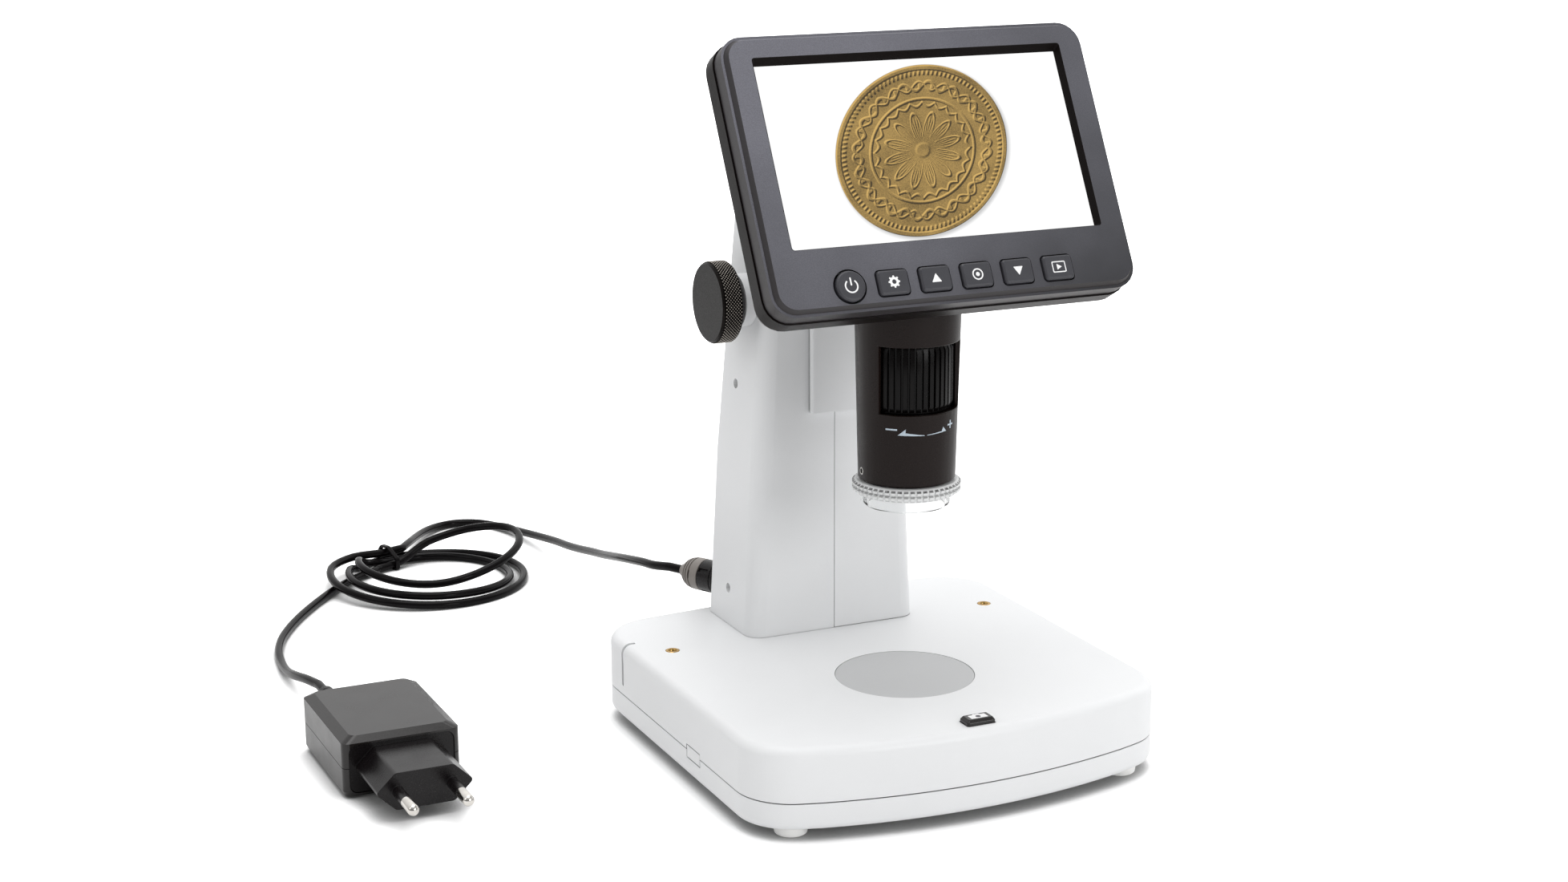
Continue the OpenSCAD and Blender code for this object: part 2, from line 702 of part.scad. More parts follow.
module carriage_arm() {
    color("white") {
        difference() {
            union() {
                prism(rect([-plate_half, plate_half], plate_y, 1.1, 4), plate_z[0], plate_z[1]);
                block([-5, 5], [plate_y[1] - lift, column_front + wall + 0.6], [166, 174]);
                translate([-7, 0, 0]) rotate([90, 0, 90]) linear_extrude(14)
                    polygon([[6.8, 172], [plate_y[0] + 0.4, 164], [plate_y[0] + 0.4, 195], [6.8, 203]]);
            }
            translate([-4.6, 0, 0]) rotate([90, 0, 90]) linear_extrude(9.2)
                polygon([[10, 160], [29, 150], [29, 192.4], [10, 199.4]]);
        }
        difference() {
            translate([0, 7, 0]) rotate([90, 0, 0])
                linear_extrude(2.8) polygon(rect([-16, 16], [170, 204.5], 3));
            for (x = [-12, 12], z = [174.5, 200]) translate([x, 2, z]) rotate([-90, 0, 0])
                cylinder(h = 8, r = 1.35, $fn = 32);
        }
    }
}

module slider_block() {
    color("gray") difference() {
        union() {
            block([-18.5, 18.5], [column_front + wall + 0.65, 40.3], slider_z);
            for (x = [-rod_x, rod_x]) block([x - 4.5, x + 4.5], [40.2, 45.6], slider_z);
        }
        for (x = [-rod_x, rod_x]) translate([x, rod_y, 0]) bar(rod_r + 0.05, 150, 200);
    }
}

module rack() {
    pitch_y = shaft_y - pitch_r;
    root_y = pitch_y - 1.2 * gear_module;
    tip_y = pitch_y + 0.85 * gear_module;
    count = floor((rack_z[1] - shaft_z) / tooth_pitch) - 1;
    count_below = floor((shaft_z - rack_z[0]) / tooth_pitch) - 1;
    color("goldenrod") {
        block([-3.5, 3.5], [40.35, root_y], rack_z);
        for (i = [-count_below:count + 1]) translate([-3.5, 0, shaft_z + tooth_pitch * (i - 0.5)])
            rotate([90, 0, 90]) linear_extrude(7) polygon([[root_y - lift, -0.78], [pitch_y, -0.5], [tip_y, -0.24],
                [tip_y, 0.24], [pitch_y, 0.5], [root_y - lift, 0.78]]);
    }
}

module head_screws() {
    color("dimgray") {
        for (x = [-12, 12], z = [174.5, 200]) translate([x, 7, z]) rotate([-90, 0, 0]) {
            translate([0, 0, 0.02]) cylinder(h = 1.8, r = 2.6, $fn = 40);
            translate([0, 0, -6.8]) cylinder(h = 6.9, r = 1.25, $fn = 32);
        }
        on_display() for (p = display_bosses) translate([p[0], p[1], 0]) {
            bar(2.4, -housing_depth + 0.9, -housing_depth + 2.1);
            bar(1.1, -housing_depth + 2, -1.5);
        }
    }
}

// ---------- display ----------

function frame_outline(inset) = rect([-rim_u + inset, rim_u - inset], [rim_v[0] + inset, rim_v[1] - inset], 8 - inset);

module display_frame() {
    opening = [56.4, -31.8, 33];
    color([0.2, 0.2, 0.21]) on_display() difference() {
        loft([[frame_back_w, frame_outline(0)], [rim_w, frame_outline(0)], [rim_w, frame_outline(0.9)],
            [face_w, frame_outline(2)]]);
        difference() {
            prism(frame_outline(wall), frame_back_w - 1, 0.3);
            for (p = display_bosses) translate([p[0], p[1], 0]) difference() {
                bar(3, frame_back_w, 1);
                bar(1.15, frame_back_w - 1, -1.2);
            }
        }
        loft([[0.2, centred_rect([screen_w, screen_h], 0.4)],
            [face_w + lift, rect([-opening[0], opening[0]], [opening[1], opening[2]], 1, 4)]]);
        translate([key_first_u, key_v, -1]) cylinder(h = 6, r = 5.4, $fn = 48);
        for (i = [1:5]) translate([key_first_u + key_pitch * i, key_v, 0])
            prism(centred_rect(key_size + [0.5, 0.5], 1.4), -1, 5);
    }
}

module display_back() {
    back = frame_back_w - 0.3;
    color([0.1, 0.1, 0.1]) on_display() difference() {
        union() {
            difference() {
                loft([[-housing_depth, frame_outline(2.5)], [-housing_depth + 0.9, frame_outline(0.4)],
                    [-housing_depth + 3, frame_outline(-0.5)], [back, frame_outline(-0.5)]]);
                prism(frame_outline(2), -housing_depth + wall, back + 1);
            }
            for (p = display_bosses) translate([p[0], p[1], 0]) bar(3.2, -housing_depth + 1, back - 0.05);
        }
        for (p = display_bosses) translate([p[0], p[1], 0]) {
            bar(1.25, -housing_depth - 1, 0);
            bar(2.6, -housing_depth - 1, -housing_depth + 2.15);
        }
        block([-12, 12], [-30, 6], [-housing_depth - 1, -housing_depth + wall + 1]);
    }
}

module lcd_panel() {
    color("white") on_display() {
        block([-57.4, 57.4], [-36.5, 36.5], [-4.4, 0.15]);
        block([-10, 10], [-38.5, -36.5 + lift], [-4.4, -3.6]);
    }
}

module display_board() {
    color("darkgreen") on_display() {
        block([-50, 50], [-40, 34], [board_w, board_w + 1.5]);
        block([-48, 46], [-50.2, -39.5], [-4.9, -3.9]);
        block([-10, 10], [-41, -39.6 + lift], [board_w + 1.4, -4]);
    }
    color("black") on_display() {
        for (i = [0:5]) translate([key_first_u + key_pitch * i, key_v, -4])
            cylinder(h = 1.5, r = 1.8, $fn = 32);
        for (u = [-30, -6, 20]) block([u, u + 12], [-14, -2], [board_w - 1.4, board_w + lift]);
    }
}

module display_key(i) {
    u = key_first_u + key_pitch * i;
    color([0.18, 0.18, 0.19]) on_display() translate([u, key_v, 0]) loft([[-1.5, centred_rect(key_size, 1.2)],
        [face_w + key_proud - 0.6, centred_rect(key_size, 1.2)],
        [face_w + key_proud, centred_rect(key_size - [1, 1], 0.8)]]);
}

module power_key() {
    color([0.18, 0.18, 0.19]) on_display() translate([key_first_u, key_v, 0])
        rotate_extrude($fn = 64) polygon([[0, -1.5], [5.1, -1.5], [5.1, face_w + key_proud - 0.5],
            [4.6, face_w + key_proud], [0, face_w + key_proud]]);
}

module menu_key() {
    display_key(1);
}

module up_key() {
    display_key(2);
}

module select_key() {
    display_key(3);
}

module down_key() {
    display_key(4);
}

module mode_key() {
    display_key(5);
}

// ---------- head and optics ----------

module head_housing() {
    back_gap = 0.3;
    outer = rect([-23, 23], [-60, 4], 13, 10);
    inner = rect([-23 + wall, 23 - wall], [-60, 4 - wall], 13 - wall, 10);
    color([0.1, 0.1, 0.1]) difference() {
        intersection() {
            prism(outer, 164.5, 225);
            translate([-40, 0, 0]) rotate([90, 0, 90]) linear_extrude(80)
                polygon([[-60, 164.5], [4.5, 164.5], [4.5, 207], [-16, 224], [-60, 224]]);
        }
        difference() {
            intersection() {
                prism(inner, 170.5, 225);
                translate([-40, 0, 0]) rotate([90, 0, 90]) linear_extrude(80)
                    polygon([[-60, 160], [4.5, 160], [4.5, 205], [-17, 221], [-60, 221]]);
            }
        }
        on_display() block([-60, 60], [-120, 80], [-housing_depth - back_gap, 60]);
        on_tube() bar(tube_d_high / 2 + 0.1, 160, tube_top + 0.1);
        on_tube() bar(bore_r - 1, 160, 175);
        for (x = [-12, 12], z = [174.5, 200]) translate([x, 0, z]) rotate([-90, 0, 0])
            cylinder(h = 10, r = 1.3, $fn = 32);
    }
}

module tube_window(depth) {
    sweep = 2 * window_half_angle;
    rotate([0, 0, -90 - window_half_angle]) translate([0, 0, window_z[0]])
        rotate_extrude(angle = sweep, $fn = 96) translate([bore_r - 3, 0]) square([depth, window_z[1] - window_z[0]]);
}

module lens_tube() {
    low = tube_d_low / 2;
    high = tube_d_high / 2;
    color([0.11, 0.1, 0.1]) on_tube() difference() {
        rotate_extrude($fn = 128) polygon([[spigot_r, spigot_z], [spigot_r, tube_z_low], [low - 0.5, tube_z_low],
            [low, tube_z_low + 0.5], [high, 160], [high, tube_top], [bore_r, tube_top], [bore_r, 154],
            [12.4, 154], [12.4, window_z[1] + 0.6], [bore_r, window_z[1] + 0.6], [bore_r, window_z[0] - 0.6],
            [12.4, window_z[0] - 0.6], [12.4, 124.5], [13.4, 124.5], [13.4, spigot_z]]);
        tube_window(10);
    }
}

module sensor_board() {
    on_tube() {
        color("darkgreen") bar(14.8, 156.5, 158.1);
        color("black") block([-3.5, 3.5], [-3.5, 3.5], [155.2, 156.5 + lift]);
        color("silver") for (i = [0:2]) rotate([0, 0, 120 * i]) translate([13.2, 0, 0]) bar(1.3, 154.02, 156.5 + lift);
    }
}

module ring_light() {
    on_tube() {
        color("darkgreen") difference() {
            bar(13.2, 100.2, 101.4);
            bar(6.5, 99, 103);
        }
        color("ivory") for (i = [0:7]) rotate([0, 0, 45 * i]) translate([10, 0, 0])
            block([-1.4, 1.4], [-1.1, 1.1], [99.3, 100.2 + lift]);
    }
}

module focus_wheel() {
    color([0.08, 0.08, 0.08]) on_tube() difference() {
        bar(wheel_outer - 0.35, window_z[0] - 0.2, window_z[1] + 0.2);
        bar(11.2, window_z[0] - 1, window_z[1] + 1);
    }
    color([0.08, 0.08, 0.08]) on_tube() for (i = [0:39]) rotate([0, 0, 9 * i + 4.5])
        block([wheel_outer - 0.9, wheel_outer], [-0.62, 0.62], [window_z[0] + 0.6, window_z[1] - 0.6]);
}

module lens_barrel() {
    color("dimgray") on_tube() difference() {
        bar(10.9, 114, 148);
        bar(8.05, 112, 118.5);
        bar(7, 110, 150);
    }
}

module objective_lens() {
    color("lightblue") on_tube() rotate_extrude($fn = 64)
        polygon([[0, 114.6], [4, 114.9], [8, 116], [8, 118.2], [4, 118.6], [0, 118.7]]);
}

module nose_cap() {
    flange = cap_d / 2;
    color([0.85, 0.9, 0.92]) on_tube() rotate_extrude($fn = 128) polygon([
        [13.2, 93.6], [14.2, 93.6], [14.75, 94.2], [14.75, 97.6], [flange - 0.9, 98], [flange, 98.9],
        [flange, 101.9], [flange - 0.9, 102.8], [spigot_r + 0.08, 102.8], [spigot_r + 0.08, spigot_z - 0.1],
        [13.2, spigot_z - 0.1]]);
}

// ---------- power cord ----------

module dc_plug() {
    color([0.12, 0.11, 0.11]) on_jack() {
        translate([0, 0, 0.5]) rotate_extrude($fn = 64) polygon([[0, 0], [plug_r - 0.5, 0], [plug_r, 0.6],
            [plug_r, plug_len - 0.5], [0, plug_len - 0.5]]);
        difference() {
            translate([0, 0, -8.5]) cylinder(h = 9.1, r = 2.75, $fn = 48);
            translate([0, 0, -9]) cylinder(h = 9, r = 1.15, $fn = 32);
        }
    }
}

module plug_strain_relief() {
    color([0.35, 0.35, 0.33]) on_jack() rotate_extrude($fn = 64) polygon([
        [0, plug_len], [plug_r, plug_len], [plug_r, 12.6], [plug_r - 0.5, 12.8], [plug_r - 0.5, 13.3],
        [plug_r - 0.15, 13.5], [plug_r - 0.4, 14.3], [plug_r - 0.95, 14.5], [plug_r - 0.95, 15],
        [plug_r - 0.75, 15.2], [plug_r - 1.3, 16.2], [plug_r - 1.9, 16.4], [plug_r - 1.9, 16.8],
        [plug_r - 2, 17], [plug_r - 3.2, 18.3], [2.5, 18.6], [2.3, relief_len], [0, relief_len]]);
}

module power_cord_lead() {
    color([0.12, 0.11, 0.11]) swept_tube(lead_path, cord_d / 2, cord_sides);
}

module power_cord_coil() {
    color([0.12, 0.11, 0.11]) swept_tube(coil_path, cord_d / 2, coil_sides);
}

module power_cord_tail() {
    color([0.12, 0.11, 0.11]) swept_tube(tail_path, cord_d / 2, cord_sides);
}

module cord_tie() {
    color([0.1, 0.1, 0.1]) translate([coil_centre[0], coil_centre[1], 0]) rotate([0, 0, coil_start_angle])
        translate([0, tie_w / 2, 0]) rotate([90, 0, 0]) difference() {
            linear_extrude(tie_w) polygon(rounded([[22.6, 0], [37.2, 0], [37.2, 5.6], [34.2, 9.6], [29.6, 9.6], [22.6, 5.4]],
                [1.6, 1.6, 2.4, 2, 3, 2], 5));
            translate([0, 0, -1]) linear_extrude(tie_w + 2) polygon(rounded([[23.6, 0.5], [36.2, 0.5], [36.2, 5.2],
                [33.8, 8.6], [29.9, 8.6], [23.6, 4.9]], [1, 1, 1.6, 1.2, 2, 1.4], 5));
        }
}

// ---------- adapter ----------

// Each level is a height, an inset from the sides and an inset from the ends
module adapter_solid(levels) {
    loft([for (level = levels) [level[0],
        rect([adapter_x - adapter_w / 2 + level[1], adapter_x + adapter_w / 2 - level[1]],
            [adapter_y + level[2], adapter_y + adapter_l - level[2]], 2.5, 5)]]);
}

module plug_block_recess() {
    translate([adapter_x, adapter_y + 3.4, 10.4]) rotate([90, 0, 0])
        linear_extrude(6) polygon(centred_rect([36.9, 17.3], 3));
}

module boot_hole() {
    translate([boot_x, adapter_y + adapter_l - 6, adapter_seam]) rotate([-90, 0, 0])
        cylinder(h = 12, r = 3.6, $fn = 48);
}

module adapter_top() {
    color([0.2, 0.19, 0.19]) difference() {
        adapter_solid([[adapter_seam + 0.1, 0, 0], [adapter_h - 2, 0, 0], [adapter_h, 3.4, 2.2]]);
        adapter_solid([[adapter_seam - 1, 2.2, 2.1], [adapter_h - 4.1, 2.2, 2.1], [adapter_h - 2.3, 4.2, 3.1]]);
        plug_block_recess();
        boot_hole();
    }
}

module adapter_bottom() {
    color([0.2, 0.19, 0.19]) difference() {
        adapter_solid([[0, 2.4, 2.4], [0.8, 0.7, 0.7], [2.6, 0, 0], [adapter_seam - 0.1, 0, 0]]);
        adapter_solid([[2.1, 3.1, 3.2], [4, 2.2, 2.1], [adapter_seam + 1, 2.2, 2.1]]);
        plug_block_recess();
        boot_hole();
    }
}

module adapter_plug_block() {
    nose_front = adapter_y - nose_len;
    color([0.13, 0.12, 0.12]) difference() {
        union() {
            translate([adapter_x, adapter_y + 3.3, 10.4]) rotate([90, 0, 0])
                linear_extrude(2.7) polygon(centred_rect([36.7, 17.1], 2.9));
            translate([adapter_x, adapter_y + 1, adapter_seam]) rotate([90, 0, 0]) linear_extrude(nose_len + 1)
                polygon(rounded([[-10, -6.5], [10, -6.5], [16.8, 0], [10, 6.5], [-10, 6.5], [-16.8, 0]],
                    [2, 2, 1.2, 2, 2, 1.2], 4));
            for (x = [-1, 1]) translate([adapter_x + x * pin_spacing / 2, nose_front + 1, adapter_seam])
                rotate([90, 0, 0]) cylinder(h = sleeve_len + 1, r = pin_r, $fn = 48);
        }
        for (x = [-1, 1]) translate([adapter_x + x * pin_spacing / 2, nose_front + 12, adapter_seam])
            rotate([90, 0, 0]) cylinder(h = 40, r = 1.22, $fn = 32);
    }
}

module adapter_pins() {
    nose_front = adapter_y - nose_len;
    color("silver") for (x = [-1, 1]) translate([adapter_x + x * pin_spacing / 2, nose_front, adapter_seam])
        rotate([90, 0, 0]) {
            translate([0, 0, -11.9]) cylinder(h = 11.9 + sleeve_len + 0.2, r = 1.2, $fn = 32);
            translate([0, 0, sleeve_len + 0.05]) rotate_extrude($fn = 48) polygon([[0, 0], [pin_r, 0],
                [pin_r, pin_len - sleeve_len - 1.6], [1.4, pin_len - sleeve_len - 0.5], [0, pin_len - sleeve_len]]);
        }
}

module adapter_strain_relief() {
    color([0.12, 0.11, 0.11]) translate([boot_x, adapter_y + adapter_l, adapter_seam]) rotate([-90, 0, 0])
        rotate_extrude($fn = 48) polygon(concat([[0, -4], [4.6, -4], [4.6, -2.3], [3.5, -2.3], [3.5, 0.3], [4.1, 0.3]],
            [for (i = [0:6]) each [[4.1 - i * 0.2, 1 + i * 3.4], [4.1 - i * 0.2, 3.2 + i * 3.4],
                [3.4 - i * 0.18, 3.4 + i * 3.4], [3.4 - i * 0.18, 4.2 + i * 3.4]]],
            [[2.3, 25], [2.3, boot_len], [0, boot_len]]));
}

base_top_shell();
base_bottom_shell();
feet();
base_screws();
ballast_plate();
base_board();
stage_disc();
stage_light();
threaded_inserts();
card_socket();
dimmer_pot();
dimmer_wheel();
port_flap();
snapshot_key();
column_left_shell();
column_right_shell();
column_screws();
column_foot_plate();
rod_clamp();
guide_rods();
shaft_bushes();
dc_jack();
focus_shaft();
pinion();
knob_left();
knob_right();
carriage_arm();
slider_block();
rack();
head_screws();
display_frame();
display_back();
lcd_panel();
display_board();
power_key();
menu_key();
up_key();
select_key();
down_key();
mode_key();
head_housing();
lens_tube();
sensor_board();
ring_light();
focus_wheel();
lens_barrel();
objective_lens();
nose_cap();
dc_plug();
plug_strain_relief();
power_cord_lead();
power_cord_coil();
cord_tie();
power_cord_tail();
adapter_strain_relief();
adapter_top();
adapter_bottom();
adapter_plug_block();
adapter_pins();
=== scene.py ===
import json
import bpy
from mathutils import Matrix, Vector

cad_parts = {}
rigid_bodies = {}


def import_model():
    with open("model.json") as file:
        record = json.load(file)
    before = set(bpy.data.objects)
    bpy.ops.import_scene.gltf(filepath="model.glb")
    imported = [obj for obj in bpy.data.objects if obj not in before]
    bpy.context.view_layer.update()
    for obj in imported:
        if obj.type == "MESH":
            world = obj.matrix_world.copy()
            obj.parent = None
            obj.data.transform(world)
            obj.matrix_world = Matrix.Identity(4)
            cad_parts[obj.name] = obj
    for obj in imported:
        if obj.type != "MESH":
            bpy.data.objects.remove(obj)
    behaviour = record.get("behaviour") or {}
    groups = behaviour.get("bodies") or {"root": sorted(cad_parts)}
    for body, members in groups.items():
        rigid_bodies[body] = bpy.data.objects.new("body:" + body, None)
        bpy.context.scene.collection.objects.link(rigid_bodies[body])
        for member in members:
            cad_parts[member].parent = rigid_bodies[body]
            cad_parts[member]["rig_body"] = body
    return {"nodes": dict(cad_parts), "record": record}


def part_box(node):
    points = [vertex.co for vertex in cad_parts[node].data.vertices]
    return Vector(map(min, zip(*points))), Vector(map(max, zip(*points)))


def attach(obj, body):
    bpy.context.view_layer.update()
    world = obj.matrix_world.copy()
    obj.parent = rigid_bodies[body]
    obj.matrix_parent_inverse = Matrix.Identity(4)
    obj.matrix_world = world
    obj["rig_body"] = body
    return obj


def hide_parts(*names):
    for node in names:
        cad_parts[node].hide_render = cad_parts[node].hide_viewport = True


bl_info = {
    "name": "Digital microscope with display",
    "version": (1, 0),
    "blender": (4, 5, 0),
    "location": "View3D > Sidebar > Microscope",
    "description": "Dresses the packed frame of a desk microscope with a display and a power cord",
    "category": "Object",
}

from math import acos, atan2, cos, pi, radians, sin, sqrt, tan

import bmesh
import bpy
from bpy.props import FloatProperty, FloatVectorProperty, IntProperty, PointerProperty
from bpy.types import Operator, Panel, PropertyGroup
from mathutils import Matrix, Vector

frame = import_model()
CAD = frame["nodes"]
SLOT_OF = {part["node"]: part["material_slot"] for part in frame["record"]["subparts"]}
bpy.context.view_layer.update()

MM = 0.001


# ---------- sizes and colours a user would change ----------


def tone(code):
    """Linear colour of a web colour code."""
    parts = [int(code[i:i + 2], 16) / 255 for i in (0, 2, 4)]
    return tuple(p / 12.92 if p <= 0.04045 else ((p + 0.055) / 1.055) ** 2.4 for p in parts)


def length(name, description, default):
    return FloatProperty(name=name, description=description, default=default * MM, unit="LENGTH", precision=5)


def angle(name, description, default):
    return FloatProperty(name=name, description=description, default=radians(default), subtype="ANGLE")


def count(name, description, default):
    return IntProperty(name=name, description=description, default=default, min=1)


def colour(name, description, code):
    return FloatVectorProperty(name=name, description=description, default=tone(code), subtype="COLOR")


class MicroscopeStage(PropertyGroup):
    camera_turn: angle("Camera turn", "Angle of the camera about the vertical", -24.72)
    camera_height: angle("Camera elevation", "Angle of the camera above the horizon", 14.31)
    camera_roll: angle("Camera roll", "Turn of the picture about the view", -0.2)
    focal_length: FloatProperty(name="Focal length", description="Lens on a 36 mm sensor", default=58.71,
                                subtype="DISTANCE_CAMERA")
    room_light: FloatProperty(name="Room light", description="Brightness of the surroundings", default=0.95)
    floor_tone: colour("Floor", "Colour of the pale floor", "f4f4f4")


class MicroscopeBase(PropertyGroup):
    width: length("Width", "Width of the base", 155)
    front: length("Front", "Distance from the middle to the front edge", 80.2)
    rear: length("Rear", "Distance from the middle to the rear edge", 80.2)
    top: length("Top", "Height of the stage above the table", 32)
    seam: length("Seam", "Height of the seam between the two shells", 13.2)
    edge: length("Top edge", "Radius of the rounded upper edge", 3.3)


class MicroscopeKnob(PropertyGroup):
    diameter: length("Diameter", "Diameter over the diamonds of the rim", 29.2)
    diamonds: count("Diamonds", "Diamonds in one row round the rim", 72)
    rows: count("Rows", "Rows of diamonds across the rim", 11)


class MicroscopeTube(PropertyGroup):
    ribs: count("Ribs", "Ribs round the zoom wheel", 42)
    cap_teeth: count("Cap teeth", "Teeth in one row round the clear cap", 52)
    cap_diameter: length("Cap diameter", "Diameter over the teeth of the clear cap", 37.1)


class MicroscopeDisplay(PropertyGroup):
    picture_width: length("Picture width", "Width of the lit picture", 110.7)
    picture_height: length("Picture height", "Height of the lit picture", 62.2)


class MicroscopeCord(PropertyGroup):
    diameter: length("Diameter", "Diameter of the power cord", 3.4)
    sides: count("Sides", "Sides of the cord's tube", 16)


class MicroscopeColours(PropertyGroup):
    white_plastic: colour("White plastic", "Shells of the base and the column", "e9eaeb")
    black_plastic: colour("Black plastic", "Display", "3f3f44")
    tube_plastic: colour("Tube plastic", "Zoom tube and its wheel", "1a1210")
    cord_rubber: colour("Cord", "Cord and its tie", "0e0c0d")
    relief_rubber: colour("Strain relief", "Grey rubber of the plug's strain relief", "857f7a")
    brass: colour("Brass", "Inserts and gears", "bd9a5c")
    steel: colour("Steel", "Screws, rods and pins", "c9c7c3")
    stage_glass: colour("Stage disc", "Frosted disc in the stage", "c1c2c3")
    print_tone: colour("Print", "Print on the tube", "b7c4cf")
    gold: colour("Gold", "Specimen in the picture", "9f8249")


# ---------- outlines and meshes, in millimetres ----------


def polar(radius, turn):
    return Vector((radius * cos(turn), radius * sin(turn)))


def rounded(corners, radii, steps=8):
    """Outline of a polygon with its corners rounded; every corner has its own radius."""
    points, total = [], len(corners)
    for i, (corner, radius) in enumerate(zip(corners, radii)):
        here = Vector(corner)
        if radius <= 0:
            points.append(here)
            continue
        before = (Vector(corners[i - 1]) - here).normalized()
        after = (Vector(corners[(i + 1) % total]) - here).normalized()
        half = acos(max(-1, min(1, before.dot(after)))) / 2
        centre = here + (before + after).normalized() * radius / sin(half)
        start = here + before * radius / tan(half) - centre
        end = here + after * radius / tan(half) - centre
        first = atan2(start.y, start.x)
        sweep = (atan2(end.y, end.x) - first + 3 * pi) % (2 * pi) - pi
        points += [centre + polar(radius, first + sweep * k / steps) for k in range(steps + 1)]
    return points


def rectangle(x0, x1, y0, y1, radius, steps=8):
    return rounded([(x0, y0), (x1, y0), (x1, y1), (x0, y1)], [radius] * 4, steps)


def circle(radius, steps=48, middle=(0, 0)):
    return [Vector(middle) + polar(radius, 2 * pi * k / steps) for k in range(steps)]


def mesh_of(shape):
    mesh = bpy.data.meshes.new("part")
    shape.to_mesh(mesh)
    shape.free()
    return mesh


def solid_of(shape):
    """Mesh with its doubled points merged and its faces turned outwards."""
    bmesh.ops.remove_doubles(shape, verts=shape.verts, dist=1e-5)
    bmesh.ops.recalc_face_normals(shape, faces=shape.faces)
    return mesh_of(shape)


def rings_at(shape, levels):
    """Rings of vertices at (height, outline) levels."""
    return [[shape.verts.new((p[0], p[1], height)) for p in outline] for height, outline in levels]


def bridge(shape, rings):
    """Quads from each ring of vertices to the next."""
    for low, high in zip(rings, rings[1:]):
        for i in range(len(low)):
            j = (i + 1) % len(low)
            shape.faces.new((low[i], low[j], high[j], high[i]))


def closed(shape, rings):
    """Solid through rings of vertices, with a face on each end."""
    bridge(shape, rings)
    shape.faces.new(rings[0][::-1])
    shape.faces.new(rings[-1])
    return solid_of(shape)


def loft(levels):
    """Closed solid through (height, outline) levels of equal point counts."""
    shape = bmesh.new()
    return closed(shape, rings_at(shape, levels))


def prism(outline, z0, z1):
    return loft([(z0, outline), (z1, outline)])


def block(x0, x1, y0, y1, z0, z1):
    return prism([(x0, y0), (x1, y0), (x1, y1), (x0, y1)], z0, z1)


def hoop(levels):
    """Ring whose section runs once round through (height, outline) levels of equal point counts."""
    shape = bmesh.new()
    rings = rings_at(shape, levels)
    bridge(shape, rings + rings[:1])
    return solid_of(shape)


def ring_plate(outer, inner, z0, z1):
    """Flat ring between two outlines of equal point counts."""
    return hoop(((z0, outer), (z1, outer), (z1, inner), (z0, inner)))


def lathe(profile, steps=96):
    """Solid of a (radius, height) profile turned about the vertical."""
    shape = bmesh.new()
    turns = [2 * pi * k / steps for k in range(steps)]
    rings = []
    for radius, height in profile:
        around = turns if radius > 0 else [0]
        rings.append([shape.verts.new((radius * cos(a), radius * sin(a), height)) for a in around])
    pairs = list(zip(rings, rings[1:]))
    if len(rings[0]) > 1 or len(rings[-1]) > 1:
        pairs.append((rings[-1], rings[0]))
    for low, high in pairs:
        for i in range(steps):
            j = (i + 1) % steps
            ring = [low[i % len(low)], low[j % len(low)], high[j % len(high)], high[i % len(high)]]
            face = list(dict.fromkeys(ring))
            if len(face) > 2:
                shape.faces.new(face)
    return solid_of(shape)


def joined(meshes):
    shape = bmesh.new()
    for mesh in meshes:
        shape.from_mesh(mesh)
        bpy.data.meshes.remove(mesh)
    return mesh_of(shape)


def moved(mesh, *steps):
    for step in steps:
        mesh.transform(step)
    return mesh


def to(x=0.0, y=0.0, z=0.0):
    return Matrix.Translation((x, y, z))


def turned(turn, axis):
    return Matrix.Rotation(radians(turn), 4, axis)


def middle_of(node):
    low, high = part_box(node)
    return (low + high) / 2 / MM


# Places of the object's parts, in millimetres, as the frame has them
AXIS_Y = middle_of("nose_cap").y
DISC_Y = middle_of("stage_disc").y
SHAFT = middle_of("focus_shaft")
DISPLAY_TILT = 28
SCREEN_Y, SCREEN_Z = -33.0, 216.1
TUBE = to(0, AXIS_Y, 0)
DISPLAY = to(0, SCREEN_Y, SCREEN_Z) @ turned(90 - DISPLAY_TILT, "X")
JACK_POINT = Vector((-26.4, 75.8, 42.5))
JACK_TURN = 28
JACK = Matrix.Translation(JACK_POINT) @ turned(JACK_TURN, "Z") @ turned(-90, "X")
KNOB_RIGHT = to(0, SHAFT.y, SHAFT.z) @ turned(90, "Y")
KNOB_LEFT = to(0, SHAFT.y, SHAFT.z) @ turned(180, "Z") @ turned(90, "Y")

# The knobs' rim with its painted highlight: its ends along the shaft, the width of its fade, and the radii of
# the knurl's tips
RIM_IN, RIM_OUT, RIM_FADE = 35.4, 42.4, 0.2
TIP_LOW, TIP_HIGH = 14.44, 14.62

ADAPTER_X, ADAPTER_Y, ADAPTER_SEAM = -166.5, 26.5, 10.9


# ---------- pieces ----------

MATERIALS = {}


def new_object(name, data):
    """Object of a mesh, lamp or camera, linked to the scene."""
    made = bpy.data.objects.new(name, data)
    bpy.context.scene.collection.objects.link(made)
    return made


def add_piece(name, mesh, place=Matrix.Identity(4)):
    """Object of a mesh in millimetres, put in place in metres."""
    mesh.name = name
    mesh.transform(Matrix.Scale(MM, 4) @ place)
    return new_object(name, mesh)


def bake(piece):
    """Turns a piece's modifiers into its mesh."""
    bpy.context.view_layer.update()
    depsgraph = bpy.context.evaluated_depsgraph_get()
    baked = bpy.data.meshes.new_from_object(piece.evaluated_get(depsgraph), preserve_all_data_layers=True,
                                            depsgraph=depsgraph)
    flat = piece.data
    piece.modifiers.clear()
    piece.data = baked
    bpy.data.meshes.remove(flat)
    baked.name = piece.name
    return piece


def smooth(piece, turn=32):
    mesh = piece.data
    mesh.shade_smooth()
    mesh.set_sharp_from_angle(angle=radians(turn))
    return piece


